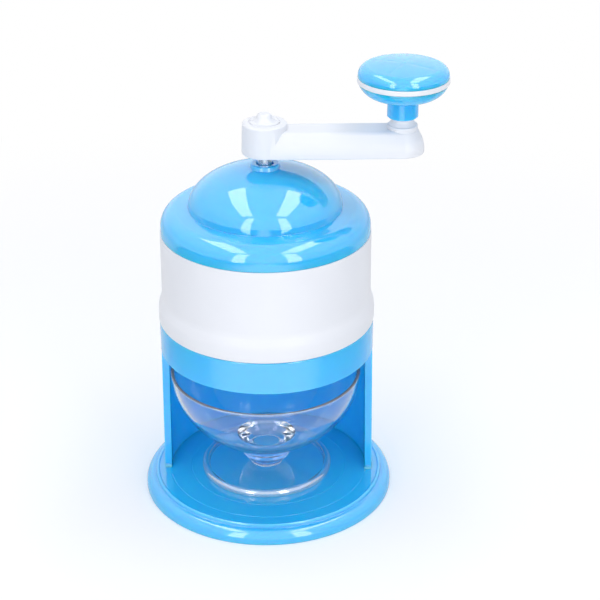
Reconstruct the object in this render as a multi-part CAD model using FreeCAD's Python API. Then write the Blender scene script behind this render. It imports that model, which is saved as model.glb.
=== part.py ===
import FreeCAD, Part
import math
import os
from FreeCAD import Vector

# Hand-cranked ice shaver. Millimetres, +Z up. The origin is on the barrel's axis, on the face
# that the shaver stands on. The stand opens towards -Y.

# ---------------------------------------------------------------- fits and fastenings
running_gap = 0.05      # radius of a bore over the shaft or post that turns in it
slip_gap = 0.3          # between moulded parts that lift or slide past each other
seat_gap = 0.1          # between moulded parts that are fixed together
small_screw_r = 1.1     # thread radius of the self-tapping screws
small_head_r = 2.0
small_head_h = 1.5
machine_screw_r = 2.0   # M4 screws in the rod's ends
machine_head_r = 3.6
machine_head_h = 2.4
head_gap = 0.3          # round the head of a sunk screw
soft_edge = 0.4         # small rounding of moulded edges

# ---------------------------------------------------------------- base
plate_top = 9.0         # height of the flat top
pad_proud = 0.5         # the pad stands this far below the rim
pad_depth = 1.5         # how deep the pad sits in the base
flange_margin = 10.7    # base rim beyond the housing's foot
flange_w = 4.7          # width of the convex flange
flange_top = 7.4        # height of the groove at its inner edge
rim_h = 1.0             # straight height of the rim
bead_out_margin = 4.9   # bead's outer edge beyond the housing's foot
bead_w = 1.8
bead_h = 0.5
bead_foot = 0.2         # the bead's outer edge is this far below the flat top
groove_lean = 0.3       # the groove's inner side leans out by this much
base_skin = 2.6
rim_wall = 2.6
flange_skin = 2.4       # flange thickness under the groove
base_wall_margin = 1.8  # ring wall under the housing, on each side of it
ring_groove_w = 0.5
ring_groove_depth = 0.3
wall_line_gap = 0.3     # ring line inside the housing's foot
cup_ring_r = 43.8       # ring line that shows where the cup stands
base_rib_w = 2.0
base_rib_count = 8
hub_rib_r = 21.0

# ---------------------------------------------------------------- stand housing
body_r = 59.3           # outer radius of the wall at its foot
wall_t = 3.9
wall_draft = 0.8        # the wall leans in by this much up to the band
bay_h = 78.2            # from the plate to the band
band_h = 18.3
band_proud = 0.2
band_edge = 0.9
cut_y = -4.0            # the wall ends here, open towards the front
foot_depth = 2.0        # the wall's foot sits this deep in the plate
toe_l = 1.6             # small ramp at the foot of each cut face
toe_h = 1.3
housing_screw_angles = (14.0, 62.0, 118.0, 166.0)
housing_screw_bite = 7.0

# ---------------------------------------------------------------- hopper barrel
skirt_proud = 0.3       # skirt beyond the band
skirt_h = 8.0
shoulder_w = 2.0        # the barrel is narrower than the skirt by this much
shoulder_h = 6.5
barrel_h = 51.0         # from the band to the lid
barrel_draft = 0.2
barrel_wall = 2.5
spigot_wall = 2.2
spigot_depth = 11.5     # the barrel reaches this far into the band
skirt_groove_w = 1.8    # cored groove under the skirt
skirt_groove_h = 5.5
key_w = 7.0             # keys that stop the barrel from turning in the band
key_proud = 1.3
key_angles = (45.0, 135.0, 225.0, 315.0)

# ---------------------------------------------------------------- floor and blade
disc_t = 3.0
blade_angle = 30.0      # slope of the blade below the floor
blade_proud = 0.7       # edge above the floor
blade_t = 1.0
blade_w = 16.0
blade_bevel = 1.7
blade_from = 6.5        # distance of the blade's inner end from the axis
blade_end_margin = 6.5  # blade's outer end to the outside of the spigot
slot_w = 4.5            # throat in front of the edge
blade_edge_y = 2.0
blade_pad_h = 6.0       # depth of the wedge that carries the blade
blade_screw_back = 10.0     # blade screws lie this far behind the edge
blade_screw_len = 3.8
blade_screw_at = (0.24, 0.76)   # along the blade, as parts of its length
blade_room = 0.5        # round the blade's ends and back

# ---------------------------------------------------------------- lid
lid_step = 0.4          # the lid is narrower than the barrel by this much
lid_side_h = 3.5
lid_round = 9.0         # big rounding of the lid's rim
lid_flange_w = 15.0     # rim from the dome to the side
lid_flange_rise = 1.0
dome_h = 22.3
lid_wall = 2.5
bayonet_ring_depth = 7.0    # the ring reaches this far into the barrel
bayonet_ring_h = 12.0
bayonet_ring_wall = 2.0
crease_round = 1.5
boss_r = 8.2
boss_top_r = 7.7
boss_h = 1.9            # boss above the dome's crown
boss_hole_gap = 0.7     # boss hole round the shaft
boss_root = 2.0         # the boss starts this far below the crown
tube_wall = 2.7         # wall of the sleeve that holds the bush
tube_l = 16.0
sleeve_flange_r = 14.5
sleeve_flange_h = 1.4
crown_pad_drop = 1.8    # flat pad for the sleeve below the dome's inner crown
lug_proud = 1.3         # bayonet lugs
lug_h = 3.0
lug_half_angle = 4.5
lug_drop = 3.7          # top of the lugs below the barrel's top
lug_angles = (30.0, 150.0, 270.0)
turn_to_lock = 18.0     # degrees, clockwise from above

# ---------------------------------------------------------------- rod, spring and presser
shaft_r = 3.95
tang_w = 5.5            # square ends of the rod
tang_l = 8.0
bush_wall = 2.5
bush_flange_r = 9.2
bush_flange_h = 1.5
stop_ring_h = 0.8
stop_ring_out = 0.5     # ring beyond the rod
stop_groove_depth = 0.25
washer_t = 1.2
spring_wire_r = 0.9
spring_mean_r = 11.6
spring_turns = 10.0
presser_gap = 1.7       # presser to barrel wall
presser_t = 3.0
presser_rim_h = 3.5
presser_rim_w = 2.4
presser_hub_r = 9.5
presser_hub_h = 11.5
presser_rib_w = 1.8
presser_rib_h = 5.0
presser_ribs = 8
drain_r = 3.6
pin_r = 1.2
pin_l = 4.3             # pins below the presser
pin_point = 2.4
pin_tip_gap = 1.5       # pin tips above the blade's edge
# Rings of pins: part of the presser's radius, how many, first angle.
pin_rings = ((0.34, 4, 20.0), (0.6, 6, 45.0), (0.848, 8, 22.5))
pin_bite = 2.5          # how deep a pin sits in the presser
tang_lift = 0.8         # floor of the square socket above the screw's head

# ---------------------------------------------------------------- crank arm
hub_gap = 5.8           # hub above the lid's boss
hub_r = 12.2
hub_top_r = 11.8
hub_h = 15.5
hub_crown_h = 2.0
hub_crown_r = 8.0
hub_sleeve = 4.0        # round bore below the square socket
socket_web = 1.5        # between the square socket and the screw's head
arm_w = 23.7
arm_h = 13.5
arm_top_w = 15.6        # the arm's upper flanks slope in to this width
arm_knee_drop = 7.8     # the flanks start this far below the top
arm_knee_round = 14.0
arm_top_round = 3.0
arm_skin = 2.4
arm_rib_w = 1.8
crank_radius = 72.0
crank_angle = 2.4       # the arm's resting angle from +X
collar_r = 8.0
collar_h = 1.9
nub_r = 3.5
nub_foot_h = 1.4        # the nub spreads at its foot over this height
nub_h = 4.8
dip_r = 5.6
dip_depth = 0.8

# ---------------------------------------------------------------- knob
post_ledge = 1.0        # shoulder under the knob
post_h = 3.7
post_flare = 1.4        # the post spreads by this much at its foot
post_flare_h = 1.9
post_pin_r = 4.9        # the knob turns on this
post_root_r = 4.0
post_root_depth = 14.0
knob_gap = 0.3          # knob above the shoulder
stem_r = 8.15
stem_h = 11.3
knob_r = 24.1           # outer radius of the white ring
knob_step = 0.5         # shell and cap are narrower than the ring by this much
shell_h = 7.6
belly_in = 3.4          # the belly's arc passes through a point this far inside the rim
belly_up = 2.4          # and this far above the belly's foot
shell_inner_r = 9.8     # the shell's belly starts here
knob_wall = 2.0
ring_h = 2.7
ring_w = 3.6
cap_h = 7.5
cap_round = 5.5
cap_side_h = 1.2        # straight side of the cap
cap_crown = 1.2
cap_skirt = 1.6
cap_skirt_h = 3.5
cap_rib_w = 1.2
cap_rib_h = 2.5
cap_rib_angle = 60.0
washer_bed = 1.6        # washer's seat below the white ring
post_washer_r = 7.2
post_washer_t = 0.8
post_screw_r = 1.5
post_screw_head_r = 2.8
post_screw_head_h = 2.0
post_screw_l = 12.0

# ---------------------------------------------------------------- cup
cup_shift = -1.0        # the cup stands a little left of the axis
cup_gap = 1.7           # rim to housing wall
cup_rim_drop = 16.2     # rim below the band
bowl_lift = 16.0        # underside of the bowl above the plate
cup_lip_h = 0.5
cup_wall = 1.8
stem_top_r = 13.0
stem_waist_r = 11.5
stem_waist_z = 11.5     # above the plate
stem_foot_r = 17.0
stem_foot_z = 7.0
foot_cone_r = 34.0
foot_cone_z = 3.0
foot_r = 36.4
foot_hollow_r = 8.3
foot_hollow_top = 14.0
foot_under_r = 33.5
foot_skin = 1.8
bond_drop = 0.7         # the foot is bonded to the bowl this far below the bowl

# ---------------------------------------------------------------- heights that follow
rim_bottom = pad_proud
pad_top = pad_proud + pad_depth
band_bottom = plate_top + bay_h
band_top = band_bottom + band_h
barrel_top = band_top + barrel_h
spigot_bottom = band_top - spigot_depth
disc_bottom = spigot_bottom - disc_t
floor_z = spigot_bottom
dome_base = barrel_top + lid_side_h + lid_round + lid_flange_rise
crown_z = dome_base + dome_h
inner_crown = crown_z - lid_wall
crown_pad_z = inner_crown - crown_pad_drop
sleeve_top = crown_pad_z - seat_gap
seat_z = sleeve_top - sleeve_flange_h
boss_top = crown_z + boss_h
bush_top = inner_crown - 1.4
tube_bottom = bush_top - tube_l
hub_bottom = boss_top + hub_gap
hub_top = hub_bottom + hub_h
arm_top = hub_bottom + arm_h
presser_bottom = floor_z + blade_proud + pin_tip_gap + pin_l
presser_top = presser_bottom + presser_t
presser_hub_top = presser_bottom + presser_hub_h
spring_bottom = presser_hub_top + washer_t
spring_top = seat_z - washer_t
collar_top = arm_top + collar_h
post_shoulder = collar_top + post_h
stem_bottom = post_shoulder + knob_gap
belly_z = stem_bottom + stem_h
ring_bottom = belly_z + shell_h
ring_top = ring_bottom + ring_h
cap_top = ring_top + cap_h
post_top = ring_bottom - washer_bed
cup_rim = band_bottom - cup_rim_drop
bowl_bottom = plate_top + bowl_lift
hub_crown = hub_top + hub_crown_h
rod_bottom = presser_bottom + machine_head_h + tang_lift
rod_top = hub_bottom + hub_sleeve + tang_l
arm_screw_seat = rod_top + socket_web
screw_seat = pad_top + small_head_h + 0.2    # heads of the screws that hold the housing
lug_top = barrel_top - lug_drop
bayonet_bottom = barrel_top - bayonet_ring_depth
bayonet_top = bayonet_bottom + bayonet_ring_h
foot_top = bowl_bottom - bond_drop

# ---------------------------------------------------------------- radii that follow
base_r = body_r + flange_margin
wall_top_r = body_r - wall_draft
band_r = wall_top_r + band_proud
bay_r = body_r - wall_t             # inner radius at the foot
bay_top_r = wall_top_r - wall_t - 0.2
skirt_r = band_r + skirt_proud
barrel_r = skirt_r - shoulder_w
barrel_top_r = barrel_r - barrel_draft
barrel_in_r = barrel_top_r - barrel_wall
spigot_r = bay_top_r - slip_gap - 0.1
spigot_in_r = spigot_r - spigot_wall
key_r = spigot_r + key_proud
lid_r = barrel_top_r - lid_step
bayonet_r = barrel_in_r - slip_gap
bayonet_in_r = bayonet_r - bayonet_ring_wall
dome_r = lid_r - lid_flange_w
bush_in_r = shaft_r + running_gap
bush_r = bush_in_r + bush_wall
tube_r = bush_r + running_gap + tube_wall
presser_r = spigot_in_r - presser_gap
cup_r = bay_r - (bay_r - bay_top_r) * (cup_rim - plate_top) / bay_h - cup_gap
blade_l = spigot_r - blade_end_margin - blade_from
boss_hole_r = shaft_r + boss_hole_gap
plug_r = machine_head_r + head_gap - seat_gap
post_r = post_pin_r + post_ledge
shell_r = knob_r - knob_step
z_axis = Vector(0, 0, 1)


# ---------------------------------------------------------------- drawing helpers
def rounded_edges(corners, to_point):
    """Edges of a closed outline. A corner is (a, b) or (a, b, rounding radius)."""
    count = len(corners)
    ends = []
    for i, corner in enumerate(corners):
        here = to_point(corner[0], corner[1])
        before = to_point(*corners[i - 1][:2])
        after = to_point(*corners[(i + 1) % count][:2])
        radius = corner[2] if len(corner) > 2 else 0.0
        if radius == 0.0:
            ends.append((here, None, here))
            continue
        back = (before - here).normalize()
        ahead = (after - here).normalize()
        half = back.getAngle(ahead) / 2
        reach = radius / math.tan(half)
        bisector = (back + ahead).normalize()
        middle = here + bisector * (radius / math.sin(half) - radius)
        ends.append((here + back * reach, middle, here + ahead * reach))
    edges = []
    for i in range(count):
        start, middle, end = ends[i]
        if middle is not None:
            edges.append(Part.Arc(start, middle, end).toShape())
        following = ends[(i + 1) % count][0]
        if end.distanceToPoint(following) > 1e-6:
            edges.append(Part.makeLine(end, following))
    return edges


def section(r, z):
    return Vector(r, 0, z)


def side(y, z):
    return Vector(0, y, z)


def face_of(edges):
    return Part.Face(Part.Wire(Part.__sortEdges__(edges)))


def turned(corners, angle=360.0, start=0.0):
    """Solid turned about Z from corners in the r-z plane."""
    return turned_face(face_of(rounded_edges(corners, section)), angle, start)


def turned_face(face, angle=360.0, start=0.0):
    solid = face.revolve(Vector(0, 0, 0), z_axis, angle)
    if start:
        solid.rotate(Vector(0, 0, 0), z_axis, start)
    return solid


def quarter_ellipse(start, end, centre):
    """Quarter ellipse from start to end, whose two half-axes run from the centre to them."""
    if (start - centre).Length >= (end - centre).Length:
        curve = Part.Ellipse(start, end, centre)
    else:
        curve = Part.Ellipse(end, start, centre)
    return Part.ArcOfEllipse(curve, 0, math.pi / 2).toShape()


def arc(start, middle, end):
    return Part.Arc(start, middle, end).toShape()


def rod(radius, bottom, top, x=0.0, y=0.0):
    return Part.makeCylinder(radius, top - bottom, Vector(x, y, bottom), z_axis)


def ring(inner, outer, bottom, top):
    return rod(outer, bottom, top).cut(rod(inner, bottom - 1, top + 1))


def block(x0, x1, y0, y1, z0, z1):
    return Part.makeBox(x1 - x0, y1 - y0, z1 - z0, Vector(x0, y0, z0))


def square_bar(width, bottom, top):
    return block(-width / 2, width / 2, -width / 2, width / 2, bottom, top)


def sector(inner, outer, bottom, top, first, last):
    """Part of a ring between two angles in degrees."""
    corners = [(inner, bottom), (outer, bottom), (outer, top), (inner, top)]
    return turned(corners, last - first, first)


def around(shape, angle):
    copy = shape.copy()
    copy.rotate(Vector(0, 0, 0), z_axis, angle)
    return copy


def moved(shape, x=0.0, y=0.0, z=0.0):
    copy = shape.copy()
    copy.translate(Vector(x, y, z))
    return copy


def polar(radius, angle):
    return radius * math.cos(math.radians(angle)), radius * math.sin(math.radians(angle))


def fuse_all(shapes):
    return shapes[0].multiFuse(shapes[1:]).removeSplitter()


def ring_edges(shape, radius, height, slack=0.2):
    """Round edges of a shape about the Z axis with this radius at this height."""
    found = []
    for edge in shape.Edges:
        if edge.Degenerated:
            continue
        curve = edge.Curve
        if not hasattr(curve, "Radius") or not hasattr(curve, "Center"):
            continue
        if abs(curve.Radius - radius) < slack and abs(curve.Center.z - height) < slack:
            found.append(edge)
    return found


def pan_screw(head_r, head_h, thread_r, length):
    """Screw that points up from its head's seat at z = 0; the head is below."""
    dome = head_h * 0.45
    head = turned([
        (0, -head_h), (head_r * 0.55, -head_h, dome), (head_r, -dome, dome * 0.5), (head_r, 0), (0, 0),
    ])
    shank = turned([
        (0, 0), (thread_r, 0), (thread_r, length - thread_r), (thread_r * 0.4, length), (0, length),
    ])
    bar = head_r * 0.55
    slit = head_r * 0.14
    bottom = -head_h - 1
    recess_top = -head_h * 0.5
    cross = block(-bar, bar, -slit, slit, bottom, recess_top)
    cross = cross.fuse(block(-slit, slit, -bar, bar, bottom, recess_top))
    return head.fuse(shank).removeSplitter().cut(cross)


def at_crank_end(shape):
    """Moves a shape made on the axis to the knob's axis."""
    return around(moved(shape, x=crank_radius), crank_angle)


# ---------------------------------------------------------------- stand
def base_plate():
    bead_out = body_r + bead_out_margin
    groove_r = base_r - flange_w
    underside = flange_top - base_skin
    outer = [
        Part.makeLine(section(0, plate_top), section(bead_out - bead_w, plate_top)),
        arc(
            section(bead_out - bead_w, plate_top),
            section(bead_out - bead_w * 0.5, plate_top + bead_h),
            section(bead_out, plate_top - bead_foot),
        ),
        Part.makeLine(section(bead_out, plate_top - bead_foot), section(bead_out + groove_lean, flange_top)),
        Part.makeLine(section(bead_out + groove_lean, flange_top), section(groove_r, flange_top)),
        quarter_ellipse(
            section(groove_r, flange_top),
            section(base_r, rim_bottom + rim_h),
            section(groove_r, rim_bottom + rim_h),
        ),
        Part.makeLine(section(base_r, rim_bottom + rim_h), section(base_r, rim_bottom)),
        Part.makeLine(section(base_r, rim_bottom), section(base_r - rim_wall, rim_bottom)),
        Part.makeLine(section(base_r - rim_wall, rim_bottom), section(base_r - rim_wall, pad_top)),
        Part.makeLine(section(base_r - rim_wall, pad_top), section(groove_r - flange_skin, underside)),
        Part.makeLine(section(groove_r - flange_skin, underside), section(0, underside)),
        Part.makeLine(section(0, underside), section(0, plate_top)),
    ]
    plate = turned_face(face_of(outer))
    rib_top = underside + 0.5
    ring_in = bay_r - base_wall_margin
    ring_out = body_r + base_wall_margin
    parts = [plate, ring(ring_in, ring_out, pad_top, rib_top)]
    parts.append(ring(hub_rib_r - base_rib_w, hub_rib_r, pad_top, rib_top))
    for i in range(base_rib_count):
        rib = block(hub_rib_r - 1, ring_in + 1, -base_rib_w / 2, base_rib_w / 2, pad_top, rib_top)
        parts.append(around(rib, i * 360.0 / base_rib_count))
    plate = fuse_all(parts)
    channel = ring(bay_r - seat_gap, body_r + seat_gap, plate_top - foot_depth, plate_top + 5)
    channel = channel.cut(block(-base_r, base_r, -base_r, cut_y - seat_gap, 0, plate_top + 9))
    cuts = [channel]
    for line_r in (bay_r + wall_line_gap, cup_ring_r):
        cuts.append(ring(line_r, line_r + ring_groove_w, plate_top - ring_groove_depth, band_bottom))
    for angle in housing_screw_angles:
        x, y = polar((bay_r + body_r) / 2, angle)
        cuts.append(rod(small_screw_r + seat_gap, 0, plate_top, x, y))
        cuts.append(rod(small_head_r + head_gap, 0, screw_seat, x, y))
    return plate.cut(Part.makeCompound(cuts))


def anti_slip_pad():
    radius = base_r - rim_wall - slip_gap
    return turned([(0, 0), (radius, 0, soft_edge), (radius, pad_top), (0, pad_top)])


def stand_housing():
    foot = plate_top - foot_depth
    wall = turned([
        (bay_r, foot), (body_r, foot), (body_r, plate_top), (wall_top_r, band_bottom + 1),
        (bay_top_r, band_bottom + 1), (bay_r, plate_top),
    ])
    wall = wall.cut(block(-base_r, base_r, -base_r, cut_y, 0, band_top))
    band = turned([
        (bay_top_r, band_bottom), (band_r, band_bottom, 0.5), (band_r, band_top, band_edge),
        (bay_top_r, band_top, 0.5),
    ])
    ramp = [
        (cut_y + 0.5, plate_top), (cut_y - toe_l, plate_top),
        (cut_y - toe_l * 0.75, plate_top + toe_h * 0.45), (cut_y, plate_top + toe_h),
        (cut_y + 0.5, plate_top + toe_h),
    ]
    toe = face_of(rounded_edges(ramp, side)).extrude(Vector(2 * body_r, 0, 0))
    toe.translate(Vector(-body_r, 0, 0))
    toe = toe.common(ring(bay_r, body_r, plate_top, plate_top + toe_h * 2))
    housing = fuse_all([wall, band, toe])
    cuts = []
    for angle in key_angles:
        slot = block(spigot_r - 2, key_r + slip_gap, -key_w / 2 - slip_gap, key_w / 2 + slip_gap,
                     disc_bottom - slip_gap * 2, band_top + 1)
        cuts.append(around(slot, angle))
    for angle in housing_screw_angles:
        x, y = polar((bay_r + body_r) / 2, angle)
        cuts.append(rod(small_screw_r, foot - 1, foot + housing_screw_bite + 0.5, x, y))
    return housing.cut(Part.makeCompound(cuts))


def housing_screws():
    length = plate_top - foot_depth + housing_screw_bite - screw_seat
    screws = []
    for angle in housing_screw_angles:
        x, y = polar((bay_r + body_r) / 2, angle)
        screws.append(moved(pan_screw(small_head_r, small_head_h, small_screw_r, length), x, y, screw_seat))
    return Part.makeCompound(screws)


# ---------------------------------------------------------------- cup
def cup_bowl():
    rim = section(cup_r, cup_rim)
    inner_rim = section(cup_r - cup_wall, cup_rim)
    inner_bottom = section(0, bowl_bottom + cup_wall)
    middle = section(0, cup_rim)
    bond_z = foot_top + seat_gap
    reach = math.acos(stem_top_r / cup_r)
    meeting = section(stem_top_r, cup_rim - (cup_rim - bowl_bottom) * math.sin(reach))
    outer_curve = Part.Ellipse(rim, section(0, bowl_bottom), middle)
    bowl = turned_face(face_of([
        Part.ArcOfEllipse(outer_curve, 0, reach).toShape(),
        Part.makeLine(meeting, section(stem_top_r, bond_z)),
        Part.makeLine(section(stem_top_r, bond_z), section(0, bond_z)),
        Part.makeLine(section(0, bond_z), inner_bottom),
        quarter_ellipse(inner_rim, inner_bottom, middle),
        arc(inner_rim, section(cup_r - cup_wall / 2, cup_rim + cup_lip_h), rim),
    ]))
    return moved(bowl, x=cup_shift)


def cup_foot():
    def z(height):
        return plate_top + height

    pedestal = turned([
        (0, foot_top), (stem_top_r, foot_top), (stem_waist_r, z(stem_waist_z), 4.0),
        (stem_foot_r, z(stem_foot_z), 5.0), (foot_cone_r, z(foot_cone_z), 1.0),
        (foot_r, z(foot_cone_z) - 0.3, 1.0), (foot_r, z(0), 0.8), (foot_under_r, z(0), 0.4),
        (foot_under_r, z(1.0), 0.4), (stem_foot_r - 1, z(stem_foot_z) - foot_skin, 3.0),
        (foot_hollow_r, z(stem_foot_z) - foot_skin + 0.4, 1.0), (foot_hollow_r, z(foot_hollow_top), 1.5),
        (0, z(foot_hollow_top)),
    ])
    return moved(pedestal, x=cup_shift)


# ---------------------------------------------------------------- hopper
def keys(bottom, top):
    """Blocks on the spigot that fit the slots in the band."""
    shapes = []
    for angle in key_angles:
        half = math.degrees(key_w / 2 / spigot_r)
        shapes.append(sector(spigot_in_r + 0.5, key_r, bottom, top, angle - half, angle + half))
    return shapes


def key_screw_places():
    return [polar((spigot_in_r + key_r) / 2, angle) for angle in key_angles]


def hopper():
    shoulder_z = band_top + skirt_h
    groove_in = spigot_r + 1.2
    groove_out = groove_in + skirt_groove_w
    barrel = turned([
        (spigot_in_r, spigot_bottom), (spigot_r, spigot_bottom), (spigot_r, band_top),
        (groove_in, band_top), (groove_in, band_top + skirt_groove_h, 0.6),
        (groove_out, band_top + skirt_groove_h, 0.6), (groove_out, band_top),
        (skirt_r, band_top, 0.9), (skirt_r, shoulder_z, 12.0), (barrel_r, shoulder_z + shoulder_h, 12.0),
        (barrel_top_r, barrel_top, 0.4), (barrel_in_r, barrel_top, 0.4), (barrel_in_r, band_top + 4.5, 1.5),
        (spigot_in_r, band_top + 1.5, 1.5),
    ])
    barrel = fuse_all([barrel] + keys(spigot_bottom, band_top))
    floor = lug_top - lug_h - slip_gap
    ceiling = lug_top + slip_gap
    deep = bayonet_r + lug_proud + slip_gap
    half = lug_half_angle + 1.0
    cuts = []
    for angle in lug_angles:
        cuts.append(sector(barrel_in_r - 1, deep, floor, barrel_top + 1, angle - half, angle + half))
        cuts.append(sector(barrel_in_r - 1, deep, floor, ceiling, angle - half - turn_to_lock, angle))
    for x, y in key_screw_places():
        cuts.append(rod(small_screw_r, spigot_bottom - 1, spigot_bottom + 8.5, x, y))
    return barrel.cut(Part.makeCompound(cuts))


def slope_point(back, below=0.0):
    """Point (y, z) on the blade: back from its edge, and below its top face."""
    slope = math.radians(blade_angle)
    y = blade_edge_y - back * math.cos(slope) + below * math.sin(slope)
    z = floor_z + blade_proud - back * math.sin(slope) - below * math.cos(slope)
    return y, z


def blade_disc():
    disc = rod(spigot_r, disc_bottom, floor_z)
    near_x = blade_from - blade_room
    far_x = blade_from + blade_l + blade_room
    back_y = slope_point(blade_w)[0] + blade_room
    wedge = block(near_x, far_x, back_y, blade_edge_y, disc_bottom - blade_pad_h, disc_bottom + 0.5)
    disc = fuse_all([disc, wedge] + keys(disc_bottom, floor_z))
    deep = floor_z - bay_h / 2
    high = floor_z + disc_t
    far_back = slope_point(2 * blade_w + slot_w)
    throat = [
        (blade_edge_y + slot_w, high), (blade_edge_y + slot_w, deep), (far_back[0], deep),
        far_back, slope_point(0.0), (blade_edge_y, high),
    ]
    cut = face_of(rounded_edges(throat, side)).extrude(Vector(far_x - near_x, 0, 0))
    cut.translate(Vector(near_x, 0, 0))
    cuts = [cut]
    for x, y in key_screw_places():
        cuts.append(rod(small_screw_r + seat_gap, disc_bottom - 1, floor_z + 1, x, y))
        foot = Vector(x, y, disc_bottom)
        cuts.append(Part.makeCone(small_head_r + seat_gap, small_screw_r, small_head_h, foot, z_axis))
    for screw in blade_screw_shanks(blade_screw_len + head_gap):
        cuts.append(screw)
    return disc.cut(Part.makeCompound(cuts))


def disc_screws():
    screws = []
    for x, y in key_screw_places():
        head = Part.makeCone(small_head_r, small_screw_r, small_head_h, Vector(x, y, disc_bottom), z_axis)
        shank = rod(small_screw_r, disc_bottom + small_head_h, spigot_bottom + 8.0, x, y)
        screw = head.fuse(shank).removeSplitter()
        bar = small_head_r * 0.6
        slit = small_head_r * 0.15
        cross = block(x - bar, x + bar, y - slit, y + slit, disc_bottom - 1, disc_bottom + 0.7)
        cross = cross.fuse(block(x - slit, x + slit, y - bar, y + bar, disc_bottom - 1, disc_bottom + 0.7))
        screws.append(screw.cut(cross))
    return Part.makeCompound(screws)


def blade():
    section_points = [
        slope_point(0.0), slope_point(blade_w), slope_point(blade_w, blade_t),
        slope_point(blade_bevel, blade_t),
    ]
    strip = face_of(rounded_edges(section_points, side)).extrude(Vector(blade_l, 0, 0))
    strip.translate(Vector(blade_from, 0, 0))
    return strip.cut(Part.makeCompound(blade_screw_shanks(1.0, small_screw_r + seat_gap, 2.0)))


def blade_screw_shanks(above, radius=small_screw_r, below=0.0):
    """Rods square to the blade, from below its top face to above it."""
    slope = math.radians(blade_angle)
    up = Vector(0, -math.sin(slope), math.cos(slope))
    shapes = []
    for along in blade_screw_at:
        y, z = slope_point(blade_screw_back)
        base = Vector(blade_from + along * blade_l, y, z) - up * below
        shapes.append(Part.makeCylinder(radius, above + below, base, up))
    return shapes


def blade_screws():
    screws = []
    for along in blade_screw_at:
        y, z = slope_point(blade_screw_back, blade_t)
        screw = pan_screw(small_head_r, small_head_h, small_screw_r, blade_t + blade_screw_len)
        screw.rotate(Vector(0, 0, 0), Vector(1, 0, 0), blade_angle)
        screws.append(moved(screw, blade_from + along * blade_l, y, z))
    return Part.makeCompound(screws)


# ---------------------------------------------------------------- lid
def lid():
    edge = soft_edge
    side_top = barrel_top + lid_side_h
    rim_top = side_top + lid_round
    crest_r = lid_r - lid_round
    dome_in = dome_r - lid_wall
    inner_round = bayonet_in_r - crest_r
    turn = math.sqrt(0.5)
    inner_flange = rim_top - lid_wall
    socket_r = bayonet_r + seat_gap
    socket_top = bayonet_top + seat_gap
    outline = [
        Part.makeLine(section(socket_r, barrel_top), section(lid_r - edge, barrel_top)),
        arc(
            section(lid_r - edge, barrel_top),
            section(lid_r - edge + edge * turn, barrel_top + edge - edge * turn),
            section(lid_r, barrel_top + edge),
        ),
        Part.makeLine(section(lid_r, barrel_top + edge), section(lid_r, side_top)),
        arc(
            section(lid_r, side_top),
            section(crest_r + lid_round * turn, side_top + lid_round * turn),
            section(crest_r, rim_top),
        ),
        Part.makeLine(section(crest_r, rim_top), section(dome_r, dome_base)),
        quarter_ellipse(section(dome_r, dome_base), section(0, crown_z), section(0, dome_base)),
        Part.makeLine(section(0, crown_z), section(0, inner_crown)),
        quarter_ellipse(section(0, inner_crown), section(dome_in, dome_base), section(0, dome_base)),
        Part.makeLine(section(dome_in, dome_base), section(dome_in, inner_flange + 0.8)),
        Part.makeLine(section(dome_in, inner_flange + 0.8), section(crest_r, inner_flange)),
        arc(
            section(crest_r, inner_flange),
            section(crest_r + inner_round * turn, inner_flange - inner_round + inner_round * turn),
            section(bayonet_in_r, inner_flange - inner_round),
        ),
        Part.makeLine(section(bayonet_in_r, inner_flange - inner_round), section(bayonet_in_r, socket_top)),
        Part.makeLine(section(bayonet_in_r, socket_top), section(socket_r, socket_top)),
        Part.makeLine(section(socket_r, socket_top), section(socket_r, barrel_top)),
    ]
    shell = turned_face(face_of(outline))
    creases = ring_edges(shell, dome_r, dome_base)
    shell = shell.makeFillet(crease_round, creases)
    boss_foot = crown_z - boss_root
    boss = turned([(0, boss_foot), (boss_r, boss_foot), (boss_top_r, boss_top, 0.7), (0, boss_top)])
    crown_pad = rod(sleeve_flange_r, crown_pad_z, inner_crown - 0.6)
    body = fuse_all([shell, boss, crown_pad])
    body = body.cut(rod(bush_r + running_gap, crown_pad_z - 1, bush_top))
    return body.cut(rod(boss_hole_r, bush_top - 1, boss_top + 1))


def bayonet_ring():
    parts = [ring(bayonet_in_r, bayonet_r, bayonet_bottom, bayonet_top)]
    for angle in lug_angles:
        parts.append(sector(bayonet_r - 1, bayonet_r + lug_proud, lug_top - lug_h, lug_top,
                            angle - lug_half_angle, angle + lug_half_angle))
    return fuse_all(parts)


def bearing_sleeve():
    return turned([
        (bush_r + running_gap, tube_bottom), (tube_r, tube_bottom, soft_edge), (tube_r, seat_z),
        (sleeve_flange_r, seat_z, soft_edge), (sleeve_flange_r, sleeve_top),
        (bush_r + running_gap, sleeve_top),
    ])


def shaft_bush():
    flange_bottom = tube_bottom - bush_flange_h
    return turned([
        (bush_in_r, flange_bottom), (bush_flange_r, flange_bottom, 0.4), (bush_flange_r, tube_bottom),
        (bush_r, tube_bottom), (bush_r, bush_top - 0.05, 0.3), (bush_in_r, bush_top - 0.05),
    ])


def spring_seat():
    return ring(tube_r + slip_gap, sleeve_flange_r - 0.4, spring_top, seat_z)


# ---------------------------------------------------------------- spring and thrust washer
def thrust_washer():
    return ring(shaft_r + slip_gap, sleeve_flange_r - 0.4, presser_hub_top, spring_bottom)


def pressure_spring():
    height = spring_top - spring_bottom - 2 * spring_wire_r
    helix = Part.makeHelix(height / spring_turns, height, spring_mean_r)
    section_circle = Part.makeCircle(spring_wire_r, Vector(spring_mean_r, 0, 0), Vector(0, 1, 0))
    coil = Part.Wire(helix.Edges).makePipeShell([Part.Wire([section_circle])], True, True)
    return moved(coil, z=spring_bottom + spring_wire_r)


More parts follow.
